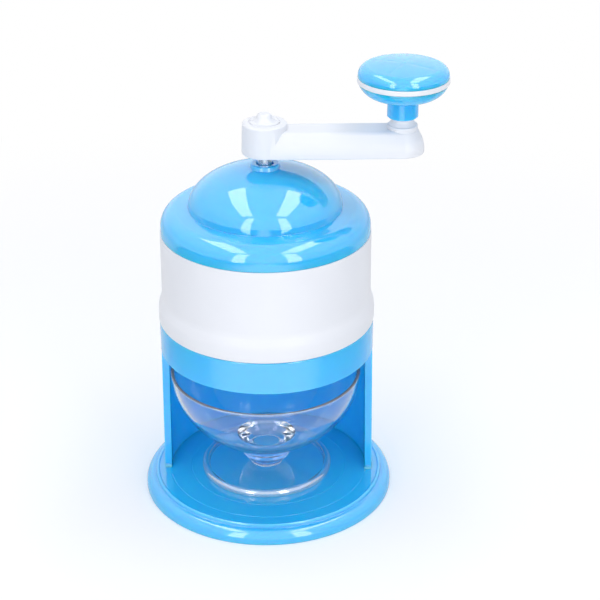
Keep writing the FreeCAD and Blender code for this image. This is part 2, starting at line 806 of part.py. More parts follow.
# ---------------------------------------------------------------- rod and presser
def drive_shaft():
    low = rod_bottom
    high = rod_top
    body = rod(shaft_r, low + tang_l, high - tang_l)
    round_end = rod(shaft_r, low, low + tang_l).common(square_bar(tang_w, low, low + tang_l))
    top_end = rod(shaft_r, high - tang_l, high).common(square_bar(tang_w, high - tang_l, high))
    body = fuse_all([body, round_end, top_end])
    cuts = [
        rod(machine_screw_r, low - 1, low + tang_l + 2),
        rod(machine_screw_r, high - tang_l - 2, high + 1),
        ring(shaft_r - stop_groove_depth, shaft_r + 1, bush_top, bush_top + stop_ring_h),
    ]
    return body.cut(Part.makeCompound(cuts))


def stop_ring():
    return ring(shaft_r - stop_groove_depth, shaft_r + stop_ring_out, bush_top, bush_top + stop_ring_h)


def presser_plate():
    low = rod_bottom
    plate = rod(presser_r, presser_bottom, presser_top)
    rim = ring(presser_r - presser_rim_w, presser_r, presser_bottom, presser_top + presser_rim_h)
    hub = rod(presser_hub_r, presser_bottom, presser_hub_top)
    parts = [plate, rim, hub]
    for i in range(presser_ribs):
        rib = block(presser_hub_r - 1, presser_r - 1, -presser_rib_w / 2, presser_rib_w / 2,
                    presser_top - 0.5, presser_top + presser_rib_h)
        rib_top_trim = ring(0.0001, presser_r - presser_rim_w / 2, presser_top - 1, presser_hub_top)
        parts.append(around(rib.common(rib_top_trim), i * 360.0 / presser_ribs))
    plate = fuse_all(parts)
    cuts = [
        rod(machine_head_r + head_gap, presser_bottom - 1, presser_bottom + machine_head_h),
        rod(machine_screw_r + 0.2, presser_bottom - 1, low + 1),
        square_bar(tang_w + 2 * seat_gap, low, low + tang_l),
        rod(shaft_r + seat_gap, low + tang_l, presser_hub_top + 1),
    ]
    for i in range(presser_ribs):
        x, y = polar((presser_hub_r + presser_r) / 2 + 4, (i + 0.5) * 360.0 / presser_ribs)
        cuts.append(rod(drain_r, presser_bottom - 1, presser_top + 1, x, y))
    for x, y in pin_places():
        cuts.append(rod(pin_r, presser_bottom - 1, presser_bottom + pin_bite, x, y))
    return plate.cut(Part.makeCompound(cuts))


def pin_places():
    places = []
    for part, count, first in pin_rings:
        for i in range(count):
            places.append(polar(part * presser_r, first + i * 360.0 / count))
    return places


def presser_pins():
    pin = turned([
        (0, -pin_l), (pin_r, -pin_l + pin_point), (pin_r, pin_bite), (0, pin_bite),
    ])
    return Part.makeCompound([moved(pin, x, y, presser_bottom) for x, y in pin_places()])


def presser_screw():
    seat = presser_bottom + machine_head_h
    return moved(pan_screw(machine_head_r, machine_head_h, machine_screw_r, tang_l), z=seat)


# ---------------------------------------------------------------- crank arm
def arm_corners(bottom, edge, inset):
    """Half of the arm's cross-section, from its bottom edge to its top edge."""
    half = arm_w / 2 - inset
    return [
        (half, bottom, edge), (half, arm_top - arm_knee_drop, arm_knee_round - inset),
        (arm_top_w / 2 - inset, arm_top - inset, arm_top_round - inset),
    ]


def arm_body(bottom, edge, inset, start):
    """Bar along +X with a half-turned end at the knob's axis, its faces inset."""
    right = arm_corners(bottom, edge, inset)
    left = [(-y, z, radius) for y, z, radius in reversed(right)]
    bar = face_of(rounded_edges(right + left, side)).extrude(Vector(crank_radius - start, 0, 0))
    end = turned([(0, bottom)] + right + [(0, arm_top - inset)])
    return moved(bar, x=start).fuse(moved(end, x=crank_radius)).removeSplitter()


def crank_arm():
    body = arm_body(hub_bottom, 0.8, 0.0, 0.0)
    hub = turned([
        (0, hub_bottom), (hub_r, hub_bottom, 1.0), (hub_top_r, hub_top, 0.8),
        (hub_crown_r, hub_top + hub_crown_h * 0.8, 3.0), (0, hub_crown),
    ])
    collar_bottom = arm_top - arm_top_round
    collar = turned([
        (0, collar_bottom), (collar_r + 0.2, collar_bottom), (collar_r, collar_top, 0.7), (0, collar_top),
    ])
    arm = fuse_all([body, hub, moved(collar, x=crank_radius)])
    pocket = arm_body(hub_bottom - 1, 0.0, arm_skin, hub_r + 1.0)
    keep = [
        rod(post_root_r + arm_skin, hub_bottom, arm_top, crank_radius),
        block(hub_r, crank_radius, -arm_rib_w / 2, arm_rib_w / 2, hub_bottom + 1.0, arm_top),
    ]
    arm = arm.cut(pocket.cut(Part.makeCompound(keep)))
    socket_bottom = rod_top - tang_l
    cuts = [
        rod(shaft_r + seat_gap, hub_bottom - 1, socket_bottom),
        square_bar(tang_w + 2 * seat_gap, socket_bottom, rod_top),
        rod(machine_screw_r + 0.2, rod_top - 1, arm_screw_seat + 1),
        rod(machine_head_r + head_gap, arm_screw_seat, hub_crown + 1),
        rod(dip_r, hub_crown - dip_depth, hub_crown + 1),
        rod(post_root_r + seat_gap, collar_top - post_root_depth, collar_top + 1, crank_radius),
    ]
    return around(arm.cut(Part.makeCompound(cuts)), crank_angle)


def arm_screw():
    screw = pan_screw(machine_head_r, machine_head_h, machine_screw_r, tang_l)
    screw.rotate(Vector(0, 0, 0), Vector(1, 0, 0), 180)
    return moved(screw, z=arm_screw_seat)


def screw_plug():
    foot = arm_screw_seat + machine_head_h + head_gap
    dip = hub_crown - dip_depth
    top = dip + nub_h
    return turned([
        (0, foot), (plug_r, foot, 0.3), (plug_r, dip), (nub_r, dip + nub_foot_h, 1.0),
        (nub_r, top - 0.4, 2.2), (0, top),
    ])


def knob_post():
    root = collar_top - post_root_depth + 0.2
    post = turned([
        (0, root), (post_root_r, root, 0.6), (post_root_r, collar_top), (post_r + post_flare, collar_top),
        (post_r, collar_top + post_flare_h, 2.0), (post_r, post_shoulder, 0.3), (post_pin_r, post_shoulder),
        (post_pin_r, post_top, soft_edge), (0, post_top),
    ])
    return at_crank_end(post.cut(rod(post_screw_r, post_top - post_screw_l - 0.5, post_top + 1)))


def post_washer():
    return at_crank_end(ring(post_screw_r + 0.2, post_washer_r, post_top, post_top + post_washer_t))


def post_screw():
    screw = pan_screw(post_screw_head_r, post_screw_head_h, post_screw_r, post_screw_l)
    screw.rotate(Vector(0, 0, 0), Vector(1, 0, 0), 180)
    return at_crank_end(moved(screw, z=post_top + post_washer_t))


# ---------------------------------------------------------------- knob
def knob_shell():
    belly_outer = arc(
        section(shell_inner_r, belly_z),
        section(shell_r - belly_in, belly_z + belly_up),
        section(shell_r, ring_bottom),
    )
    wall = knob_wall
    inner_top = shell_r - wall
    outline = [
        Part.makeLine(section(0, stem_bottom), section(stem_r - 0.6, stem_bottom)),
        Part.makeLine(section(stem_r - 0.6, stem_bottom), section(stem_r, stem_bottom + 0.6)),
        Part.makeLine(section(stem_r, stem_bottom + 0.6), section(stem_r, belly_z)),
        Part.makeLine(section(stem_r, belly_z), section(shell_inner_r, belly_z)),
        belly_outer,
        Part.makeLine(section(shell_r, ring_bottom), section(inner_top, ring_bottom)),
        arc(
            section(inner_top, ring_bottom),
            section(shell_r - belly_in - wall * 0.7, belly_z + belly_up + wall * 0.85),
            section(shell_inner_r + 0.6, belly_z + wall),
        ),
        Part.makeLine(section(shell_inner_r + 0.6, belly_z + wall), section(0, belly_z + wall)),
        Part.makeLine(section(0, belly_z + wall), section(0, stem_bottom)),
    ]
    shell = turned_face(face_of(outline))
    tube = rod(stem_r, belly_z, post_top - seat_gap)
    shell = fuse_all([shell, tube])
    return at_crank_end(shell.cut(rod(post_pin_r + running_gap, stem_bottom - 1, ring_bottom + 1)))


def knob_ring():
    inner = knob_r - ring_w
    return at_crank_end(turned([
        (inner, ring_bottom), (knob_r, ring_bottom, 0.6), (knob_r, ring_top, 0.6), (inner, ring_top),
    ]))


def knob_cap():
    edge_r = shell_r + 0.1
    skirt_out = knob_r - ring_w - seat_gap
    skirt_in = skirt_out - cap_skirt
    crown_r = edge_r - cap_round
    shoulder = cap_top - cap_crown
    crown_radius = (crown_r ** 2 + cap_crown ** 2) / (2 * cap_crown)

    def crown(drop):
        """Arc of the crown from its edge to the axis; its circle is centred on the axis."""
        half = crown_r / 2
        half_z = cap_top - crown_radius + math.sqrt(crown_radius ** 2 - half ** 2) - drop
        return arc(section(crown_r, shoulder - drop), section(half, half_z), section(0, cap_top - drop))

    side_top = ring_top + cap_side_h
    skirt_bottom = ring_top - cap_skirt_h
    outline = [
        Part.makeLine(section(skirt_out, ring_top), section(edge_r, ring_top)),
        Part.makeLine(section(edge_r, ring_top), section(edge_r, side_top)),
        quarter_ellipse(section(edge_r, side_top), section(crown_r, shoulder), section(crown_r, side_top)),
        crown(0.0),
        Part.makeLine(section(0, cap_top), section(0, cap_top - knob_wall)),
        crown(knob_wall),
        Part.makeLine(section(crown_r, shoulder - knob_wall), section(skirt_in, side_top)),
        Part.makeLine(section(skirt_in, side_top), section(skirt_in, skirt_bottom)),
        Part.makeLine(section(skirt_in, skirt_bottom), section(skirt_out, skirt_bottom)),
        Part.makeLine(section(skirt_out, skirt_bottom), section(skirt_out, ring_top)),
    ]
    cap = turned_face(face_of(outline))
    under = cap_top - knob_wall
    room = turned([(0, ring_top), (skirt_in + 0.3, ring_top), (crown_r, shoulder - 0.8), (0, cap_top - 0.8)])
    parts = [cap]
    for i in range(2):
        rib = block(-skirt_out, skirt_out, -cap_rib_w / 2, cap_rib_w / 2, under - cap_rib_h, cap_top)
        parts.append(around(rib, cap_rib_angle + 90.0 * i).common(room))
    return at_crank_end(fuse_all(parts))


# ---------------------------------------------------------------- all pieces
pieces = [
    base_plate, anti_slip_pad, stand_housing, housing_screws,
    cup_bowl, cup_foot,
    hopper, blade_disc, disc_screws, blade, blade_screws,
    lid, bayonet_ring, bearing_sleeve, shaft_bush, spring_seat,
    pressure_spring, thrust_washer,
    drive_shaft, stop_ring, presser_plate, presser_pins, presser_screw,
    crank_arm, arm_screw, screw_plug, knob_post, post_washer, post_screw,
    knob_shell, knob_ring, knob_cap,
]


def main():
    os.makedirs("parts", exist_ok=True)
    for make in pieces:
        shape = make()
        box = shape.BoundBox
        name = make.__name__
        print(f"{name:16s} solids {len(shape.Solids):2d} valid {shape.isValid()} volume {shape.Volume:10.1f}"
              f"  x {box.XMin:7.2f} {box.XMax:7.2f}  y {box.YMin:7.2f} {box.YMax:7.2f}"
              f"  z {box.ZMin:7.2f} {box.ZMax:7.2f}")
        shape.exportStep(f"parts/{name}.step")


main()
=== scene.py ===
"""Looks of a hand-cranked ice shaver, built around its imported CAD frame.

Sizes are in millimetres inside the classes and become metres when a piece is placed.
"""

import cmath
import logging
import math
from collections.abc import Iterable, Mapping
from dataclasses import dataclass, field
from enum import Enum

import bmesh
import bpy
from bmesh.types import BMEdge, BMesh, BMVert
from mathutils import Matrix, Vector


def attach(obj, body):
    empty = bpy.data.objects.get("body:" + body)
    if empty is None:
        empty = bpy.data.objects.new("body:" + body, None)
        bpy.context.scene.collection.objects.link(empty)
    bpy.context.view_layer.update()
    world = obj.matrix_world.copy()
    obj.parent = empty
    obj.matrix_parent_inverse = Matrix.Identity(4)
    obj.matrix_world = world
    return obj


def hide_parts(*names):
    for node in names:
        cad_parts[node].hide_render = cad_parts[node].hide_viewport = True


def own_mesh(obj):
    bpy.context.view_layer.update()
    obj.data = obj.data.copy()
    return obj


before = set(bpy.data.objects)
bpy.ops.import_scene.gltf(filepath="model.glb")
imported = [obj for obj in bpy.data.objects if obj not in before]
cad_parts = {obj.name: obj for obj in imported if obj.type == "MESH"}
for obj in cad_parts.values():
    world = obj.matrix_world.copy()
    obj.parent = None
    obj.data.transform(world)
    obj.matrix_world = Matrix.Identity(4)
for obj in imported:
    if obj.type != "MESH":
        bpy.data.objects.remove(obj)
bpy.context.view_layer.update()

LOG = logging.getLogger("ice_shaver")
MILLIMETRE = 0.001
MERGE = 1e-4  # millimetres within which two corners become one
SAME_PLACE = 0.01  # millimetres within which an arc starts at the last point
REACH = 72.0  # from the crank's axis to the knob's
REST_ANGLE = 2.4  # degrees that the arm is turned at rest
SPIN_STEPS = 192  # flat pieces round a large turned part
SMALL_STEPS = 96  # the same for a small one
END_STEPS = 72  # and for the arm's half-turned end
SECTOR_STEPS = 12
SOFT_EDGE = 0.3  # bevel of a moulded block
ARC_FINENESS = ((2.0, 4.0), (0.5, 12.0), (0.0, 22.0))  # degrees per piece of a rounding above a radius
QUARTERS = (45.0, 135.0, 225.0, 315.0)
THIRDS = (30.0, 150.0, 270.0)
CRISP_ANGLE = 32.0  # degrees between faces above which an edge stays crisp
ORIGIN = (0.0, 0.0, 0.0)
UPWARDS = (0.0, 0.0, 1.0)
X_TO_Y = Matrix(((0, -1, 0), (1, 0, 0), (0, 0, 1)))

Pair = tuple[float, float]
Triple = tuple[float, float, float]
Section = tuple[tuple[float, ...], ...]
Arc = tuple[Pair, Pair, float, float, int]  # centre, half-axes, first and last angle, and steps
Drum = tuple[float, ...]  # radius, bottom, top, and if need be place on X and steps
Tree = bpy.types.NodeTree
Socket = bpy.types.NodeSocket


class Body(Enum):
    """The moving groups of the frame."""

    STAND = "stand"
    CUP = "cup"
    HOPPER = "hopper"
    BEARING = "bearing"
    LID = "lid"
    CARRIAGE = "carriage"
    CRANK = "crank"
    KNOB = "knob"


class Slot(Enum):
    """Material slots of the finishes."""

    BLUE = "blue_plastic"
    WHITE = "white_plastic"
    CLEAR = "clear_plastic"
    ACETAL = "acetal"
    RUBBER = "black_rubber"
    POLISHED = "polished_steel"
    BLADE = "blade_steel"
    WASHER = "washer_steel"
    SPRING = "spring_steel"
    SCREWS = "steel_screws"


class Joining(Enum):
    """How two solids are combined."""

    UNION = "UNION"
    DIFFERENCE = "DIFFERENCE"
    INTERSECT = "INTERSECT"


class Ramp(Enum):
    """How a ramp runs between its two levels."""

    STRAIGHT = "LINEAR"
    SOFT = "SMOOTHSTEP"


# -------------------- mesh tools
class Outline:
    """Line of corners and curves in the plane of X, across, and Z, up, some corners rounded."""

    def __init__(self) -> None:
        """Starts an empty outline."""
        self.mesh: BMesh = bmesh.new()
        self.line: list[BMVert] = []
        self.rounds: list[tuple[BMVert, float]] = []

    def to(self, *corners: tuple[float, ...]) -> "Outline":
        """Draws straight lines.

        Args:
            corners: each as across, up and, where it is rounded, its radius.

        Returns:
            The outline itself.
        """
        for across, up, *rounding in corners:
            vert = self.mesh.verts.new((across, 0, up))
            if self.line:
                self.mesh.edges.new((self.line[-1], vert))
            self.line.append(vert)
            self.rounds += [(vert, radius) for radius in rounding]
        return self

    def sweep(self, centre: Pair, halves: Pair, first: float, last: float, steps: int = 24) -> "Outline":
        """Draws part of an ellipse.

        Args:
            centre: its centre, across and up.
            halves: its half-axes, across and up.
            first: angle of its start in degrees, from across towards up.
            last: angle of its end.
            steps: number of straight pieces.

        Returns:
            The outline itself.
        """
        angle = math.radians(first)
        start = self.mesh.verts.new((math.cos(angle), 0, math.sin(angle)))
        known = len(self.mesh.verts)
        bmesh.ops.spin(
            self.mesh, geom=[start], cent=ORIGIN, axis=(0, -1, 0), angle=math.radians(last - first),
            steps=steps, use_merge=False, use_duplicate=False,
        )
        chain = [start] + list(self.mesh.verts)[known:]
        bmesh.ops.scale(self.mesh, vec=(halves[0], 1, halves[1]), verts=chain)
        bmesh.ops.translate(self.mesh, vec=(centre[0], 0, centre[1]), verts=chain)
        if self.line and (self.line[-1].co - start.co).length < SAME_PLACE:
            self.mesh.verts.remove(start)
            chain = chain[1:]
        if self.line:
            self.mesh.edges.new((self.line[-1], chain[0]))
        self.line += chain
        return self

    def bow(self, middle: Pair, end: Pair, steps: int = 14) -> "Outline":
        """Draws a circular arc from the last point.

        Args:
            middle: a point on the arc, across and up.
            end: the arc's end.
            steps: number of straight pieces.

        Returns:
            The outline itself.
        """
        a, b, c = (complex(*point) for point in (self.line[-1].co.xz, middle, end))
        ratio = (c - a) / (b - a)
        centre = a + (b - a) * (ratio - abs(ratio) ** 2) / (2j * ratio.imag)
        angles = [math.degrees(cmath.phase(point - centre)) for point in (a, b, c)]
        turn = (angles[2] - angles[0]) % 360
        if (angles[1] - angles[0]) % 360 > turn:
            turn -= 360
        radius = abs(a - centre)
        return self.sweep((centre.real, centre.imag), (radius, radius), angles[0], angles[0] + turn, steps)

    def wire(self, closed: bool) -> BMesh:
        """Closes the outline if asked, rounds its corners, and gives it as edges."""
        if closed:
            self.mesh.edges.new((self.line[-1], self.line[0]))
        for vert, radius in self.rounds:
            ways = [edge.other_vert(vert).co - vert.co for edge in vert.link_edges]
            half = ways[0].angle(ways[1]) / 2
            turn = 180 - 2 * math.degrees(half)
            fineness = next(degrees for least, degrees in ARC_FINENESS if radius > least)
            bmesh.ops.bevel(
                self.mesh, geom=[vert], offset=radius / math.tan(half), offset_type="OFFSET",
                segments=max(2, round(turn / fineness)), profile=0.5, affect="VERTICES", material=-1,
                clamp_overlap=False,
            )
        return self.mesh


def lathe(outline: Outline, steps: int = SPIN_STEPS, turn: float = 360.0, start: float = 0.0) -> BMesh:
    """Turns an outline about the Z axis.

    Args:
        outline: the line, which starts and ends on the axis or else is a loop.
        steps: number of flat pieces round the turn.
        turn: how far it is turned, in degrees.
        start: where the turn starts.

    Returns:
        A closed solid.
    """
    bm = outline.wire(outline.line[0].co.x > MERGE)
    if start:
        turn_mesh(bm, start)
    bmesh.ops.spin(
        bm, geom=bm.verts[:] + bm.edges[:], cent=ORIGIN, axis=UPWARDS, angle=math.radians(turn),
        steps=steps, use_merge=turn >= 360.0, use_duplicate=False,
    )
    bmesh.ops.remove_doubles(bm, verts=bm.verts[:], dist=MERGE)
    return sealed(bm)


def turned(corners: Section, steps: int = SPIN_STEPS) -> BMesh:
    """Turns a section of straight lines about the Z axis."""
    return lathe(Outline().to(*corners), steps)


def sealed(bm: BMesh) -> BMesh:
    """Fills open loops and points every face outwards."""
    rim = [edge for edge in bm.edges if edge.is_boundary]
    if rim:
        bmesh.ops.holes_fill(bm, edges=rim, sides=0)
    bmesh.ops.recalc_face_normals(bm, faces=bm.faces[:])
    return bm


def turn_mesh(bm: BMesh, angle: float) -> BMesh:
    """Turns a mesh about the Z axis by an angle in degrees."""
    bmesh.ops.rotate(bm, cent=ORIGIN, matrix=Matrix.Rotation(math.radians(angle), 3, "Z"), verts=bm.verts[:])
    return bm


def shift(bm: BMesh, x: float = 0.0, y: float = 0.0, z: float = 0.0) -> BMesh:
    """Moves a mesh."""
    bmesh.ops.translate(bm, vec=(x, y, z), verts=bm.verts[:])
    return bm


def block(low: Triple, high: Triple, edge: float = 0.0) -> BMesh:
    """Makes a box between two corners, with a bevel of that width on its edges."""
    bm = bmesh.new()
    bmesh.ops.create_cube(bm, size=1.0)
    bmesh.ops.scale(bm, vec=Vector(high) - Vector(low), verts=bm.verts[:])
    shift(bm, *(Vector(high) + Vector(low)) / 2)
    if edge:
        bevel_edges(bm, bm.edges[:], edge, 3)
    return bm


def bevel_edges(bm: BMesh, edges: list[BMEdge], width: float, segments: int) -> None:
    """Rounds some edges of a solid."""
    bmesh.ops.bevel(
        bm, geom=edges, offset=width, offset_type="OFFSET", segments=segments, profile=0.5,
        affect="EDGES", material=-1,
    )


def drum(radius: float, bottom: float, top: float, x: float = 0.0, steps: int = 64) -> BMesh:
    """Makes an upright cylinder at a distance along X, to cut or join with."""
    return shift(turned(((0, bottom), (radius, bottom), (radius, top), (0, top)), steps), x)


def sector(radii: Pair, heights: Pair, first: float, last: float) -> BMesh:
    """Makes part of a ring between two angles in degrees."""
    (inner, outer), (bottom, top) = radii, heights
    outline = Outline().to((inner, bottom), (outer, bottom), (outer, top), (inner, top))
    return lathe(outline, SECTOR_STEPS, last - first, first)


def on_side(corners: Section, closed: bool) -> BMesh:
    """Draws a section across Y instead of X."""
    bm = Outline().to(*corners).wire(closed)
    bmesh.ops.rotate(bm, cent=ORIGIN, matrix=X_TO_Y, verts=bm.verts[:])
    return bm


def prism(corners: Section, start: float, end: float) -> BMesh:
    """Stretches a section along X into a solid."""
    bm = on_side(corners, True)
    face = bmesh.ops.contextual_create(bm, geom=bm.edges[:])["faces"]
    grown = bmesh.ops.extrude_face_region(bm, geom=face, use_keep_orig=True)["geom"]
    verts = [item for item in grown if isinstance(item, BMVert)]
    bmesh.ops.translate(bm, vec=(end - start, 0, 0), verts=verts)
    bmesh.ops.recalc_face_normals(bm, faces=bm.faces[:])
    return shift(bm, start)


def at_knob(bm: BMesh) -> BMesh:
    """Moves a mesh from the origin to the knob's axis."""
    return turn_mesh(shift(bm, REACH), REST_ANGLE)


def as_mesh(name: str, bm: BMesh) -> bpy.types.Mesh:
    """Turns an editable mesh, which is used up, into a stored one."""
    mesh = bpy.data.meshes.new(name)
    bm.to_mesh(mesh)
    bm.free()
    return mesh


def add(name: str, data: bpy.types.ID) -> bpy.types.Object:
    """Puts a new object into the scene."""
    made = bpy.data.objects.new(name, data)
    bpy.context.scene.collection.objects.link(made)
    return made


def combine(body: BMesh, how: Joining, *tools: BMesh) -> BMesh:
    """Joins, cuts or intersects a solid with others, one after the other.

    Args:
        body: the first solid, which is used up.
        how: what is done with them.
        tools: the other solids, which are used up.

    Returns:
        The resulting solid.
    """
    for tool in tools:
        objects = [add(name, as_mesh(name, part)) for name, part in (("body", body), ("tool", tool))]
        modifier = objects[0].modifiers.new("combine", "BOOLEAN")
        modifier.operation = how.value
        modifier.solver = "EXACT"
        modifier.object = objects[1]
        body = bmesh.new()
        body.from_object(objects[0], bpy.context.evaluated_depsgraph_get())
        for thing in objects:
            bpy.data.meshes.remove(thing.data)
        bmesh.ops.remove_doubles(body, verts=body.verts[:], dist=MERGE)
        strays = [edge for edge in body.edges if edge.is_wire]
        bmesh.ops.delete(body, geom=strays, context="EDGES")
    return body


def around(make: BMesh, angles: Iterable[float]) -> BMesh:
    """Repeats a solid, which is used up, at some angles about the Z axis, all in one mesh."""
    whole = bmesh.new()
    for angle in angles:
        mesh = as_mesh("copy", turn_mesh(make.copy(), angle))
        whole.from_mesh(mesh)
        bpy.data.meshes.remove(mesh)
    make.free()
    return whole


# -------------------- finishes
def linear(colour: str) -> tuple[float, ...]:
    """Turns an sRGB hex colour into linear red, green, blue and alpha."""
    parts = [int(colour[i:i + 2], 16) / 255 for i in (1, 3, 5)]
    return (*(p / 12.92 if p <= 0.04045 else ((p + 0.055) / 1.055) ** 2.4 for p in parts), 1.0)


def times(scale: float, span: Pair) -> Pair:
    """Scales two levels."""
    return (scale * span[0], scale * span[1])


def empty_tree(owner: bpy.types.Material | bpy.types.World) -> Tree:
    """Gives a material or a world a node tree with nothing in it."""
    owner.use_nodes = True
    owner.node_tree.nodes.clear()
    return owner.node_tree


def node(
    tree: Tree,
    kind: str,
    settings: Mapping[str, object] | None = None,
    inputs: Mapping[str | int, object] | None = None,
) -> bpy.types.bpy_prop_collection:
    """Adds a shader node with its settings and links.

    Args:
        tree: the node tree.
        kind: the node's type, after ShaderNode.
        settings: properties of the node.
        inputs: input name or number to a value or to another node's output.

    Returns:
        The new node's outputs.
    """
    made = tree.nodes.new(f"ShaderNode{kind}")
    for name, value in (settings or {}).items():
        setattr(made, name, value)
    for name, value in (inputs or {}).items():
        if isinstance(value, Socket):
            tree.links.new(value, made.inputs[name])
        else:
            made.inputs[name].default_value = value
    return made.outputs


def maths(tree: Tree, operation: str, first: Socket, second: Socket | float = 0.0) -> Socket:
    """Adds a calculation with one or two numbers."""
    return node(tree, "Math", {"operation": operation}, {0: first, 1: second})[0]


def blend(tree: Tree, share: Socket, low: Socket | float, high: Socket | float) -> Socket:
    """Adds a mix of two numbers."""
    return node(tree, "Mix", {}, {0: share, 2: low, 3: high})[0]


def tones(tree: Tree, share: Socket, low: str, high: str) -> Socket:
    """Adds a mix of two colours."""
    return node(tree, "Mix", {"data_type": "RGBA"}, {0: share, 6: linear(low), 7: linear(high)})[2]


def layers(tree: Tree, share: Socket, first: Socket, second: Socket) -> Socket:
    """Adds a mix of two shaders."""
    return node(tree, "MixShader", {}, {0: share, 1: first, 2: second})[0]


def glow(tree: Tree, strength: Socket | float) -> Socket:
    """Adds white light of a strength."""
    return node(tree, "Emission", {}, {"Strength": strength})[0]


def ramp(tree: Tree, value: Socket, span: Pair, levels: Pair = (0.0, 1.0), how: Ramp = Ramp.STRAIGHT) -> Socket:
    """Adds a ramp that goes from one level to another over a span of a value.

    Args:
        tree: the node tree.
        value: what it depends on.
        span: where the ramp starts and ends.
        levels: what it gives before and after.
        how: its course between them.

    Returns:
        The level.
    """
    inputs = {"Value": value, "From Min": span[0], "From Max": span[1], "To Min": levels[0], "To Max": levels[1]}
    return node(tree, "MapRange", {"interpolation_type": how.value}, inputs)[0]


def place_in(tree: Tree, kind: str = "Object") -> Socket:
    """Adds coordinates."""
    return node(tree, "TexCoord")[kind]


def distance(tree: Tree, at: Socket) -> Socket:
    """Adds the length of a vector."""
    return node(tree, "VectorMath", {"operation": "LENGTH"}, {0: at})["Value"]


def noise(tree: Tree, at: Socket, size: float, detail: float) -> Socket:
    """Adds cloudy noise that changes over so many millimetres."""
    inputs = {"Vector": at, "Scale": 1.0 / (size * MILLIMETRE), "Detail": detail}
    return node(tree, "TexNoise", {}, inputs)["Fac"]


def relief(tree: Tree, height: Socket, depth: float, under: Socket | None = None) -> Socket:
    """Adds a relief that is so many millimetres deep, on top of another one if there is one."""
    inputs = {"Height": height, "Distance": depth * MILLIMETRE, "Strength": 1.0}
    return node(tree, "Bump", {}, inputs | ({} if under is None else {"Normal": under}))["Normal"]


def shader(tree: Tree, inputs: Mapping[str, object]) -> Socket:
    """Adds the general surface shader."""
    return node(tree, "BsdfPrincipled", {}, inputs)[0]


@dataclass(frozen=True)
class Finish:
    """What a surface is made of; each kind draws its own nodes."""

    name: str
    slot: Slot

    def material(self) -> bpy.types.Material:
        """Gives the material, made the first time it is asked for."""
        made = bpy.data.materials.get(self.name)
        if made is None:
            made = bpy.data.materials.new(self.name)
            tree = empty_tree(made)
            node(tree, "OutputMaterial", {}, {"Surface": self.draw(tree)})
        return made

    def draw(self, tree: Tree) -> Socket:
        """Draws the nodes and gives the shader."""
        raise NotImplementedError


@dataclass(frozen=True)
class MouldedPlastic(Finish):
    """Thermoplastic from a polished or satin mould.

    The pigment lies a little unevenly, the mould's polish leaves slow waves in the reflections,
    and handling leaves patches that shine a little less.
    """

    colour: str
    shade: str
    ior: float
    roughness: float
    patch: float = 26.0
    wave: float = 9.0
    wave_depth: float = 0.012
    grain: float = 0.35
    grain_depth: float = 0.0006
    shine: float = 0.5
    glow: float = 0.0
    reach: Triple = (1.0, 1.0, 1.0)
    handled: Pair = (0.3, 0.75)
    wear: Pair = (0.85, 1.25)

    def draw(self, tree: Tree) -> Socket:
        """Draws pigment, polish waves, grain and handling marks."""
        at = place_in(tree)
        polish = relief(tree, noise(tree, at, self.wave, 1.0), self.wave_depth)
        touched = noise(tree, at, self.patch / 3, 4.0)
        return shader(tree, {
            "Base Color": tones(tree, noise(tree, at, self.patch, 2.0), self.colour, self.shade),
            "Roughness": ramp(tree, touched, self.handled, times(self.roughness, self.wear)),
            "IOR": self.ior,
            "Specular IOR Level": self.shine,
            "Normal": relief(tree, noise(tree, at, self.grain, 1.0), self.grain_depth, polish),
            "Subsurface Weight": self.glow,
            "Subsurface Radius": self.reach,
            "Subsurface Scale": MILLIMETRE,
        })


@dataclass(frozen=True)
class ClearPlastic(Finish):
    """Crystal-clear moulded plastic: no colour of its own, bright rims, slow waves in its walls.

    The foot's edge and the lip are made less clear, and the foot's edge gets a strong coat, so that both show as
    bright rings: a painted highlight standing in for the light that the rolled edge gathers.
    Light that only passes through it on its way to other pieces goes straight on, a little weaker.
    """

    colour: str
    shadow: str = "#FDFDFE"
    clearness: float = 0.99
    ior: float = 1.5
    roughness: float = 0.015
    wave: float = 14.0
    wave_depth: float = 0.03
    axis_x: float = -1.0
    # painted highlight: these set where the foot's edge and the lip are made less clear, and how strong a coat the
    # edge gets, so both show as bright rings
    edge: Pair = (34.4, 35.6)
    edge_top: float = 18.0
    edge_highlight_clearness: float = 0.8
    edge_highlight_ior: float = 3.0
    lip: Pair = (69.9, 70.7)
    lip_highlight_clearness: float = 0.8

    def edges(self, tree: Tree, at: Socket) -> Iterable[Socket]:
        """Finds the foot's edge and lowers the clearness there and at the lip, which paints highlight rings there.

        Args:
            tree: the material's nodes.
            at: the object coordinates.

        Returns:
            How far a place lies on the foot's edge, and the transmission weight.
        """
        inputs = {0: at, 1: (1.0, 1.0, 0.0), 2: (-self.axis_x * MILLIMETRE, 0.0, 0.0)}
        away = distance(tree, node(tree, "VectorMath", {"operation": "MULTIPLY_ADD"}, inputs)[0])
        height = node(tree, "SeparateXYZ", {}, {0: at})["Z"]
        outer = ramp(tree, away, times(MILLIMETRE, self.edge))
        edge = maths(tree, "MULTIPLY", outer, maths(tree, "LESS_THAN", height, self.edge_top * MILLIMETRE))
        lip = ramp(tree, height, times(MILLIMETRE, self.lip), (self.clearness, self.lip_highlight_clearness))
        return edge, blend(tree, edge, lip, self.edge_highlight_clearness)

    def draw(self, tree: Tree) -> Socket:
        """Draws clear walls with the flow waves of moulding."""
        at = place_in(tree)
        edge, clearness = self.edges(tree, at)
        clear = shader(tree, {
            "Base Color": linear(self.colour),
            "Roughness": self.roughness,
            "IOR": self.ior,
            # painted highlight: a strong coat on the foot's edge makes it shine as a bright ring
            "Coat Weight": edge,
            "Coat IOR": self.edge_highlight_ior,
            "Transmission Weight": clearness,
            "Normal": relief(tree, noise(tree, at, self.wave, 1.0), self.wave_depth),
        })
        path = node(tree, "LightPath")
        passing = maths(tree, "MAXIMUM", path["Is Shadow Ray"], path["Is Diffuse Ray"])
        through = node(tree, "BsdfTransparent", {}, {"Color": linear(self.shadow)})[0]
        return layers(tree, passing, clear, through)


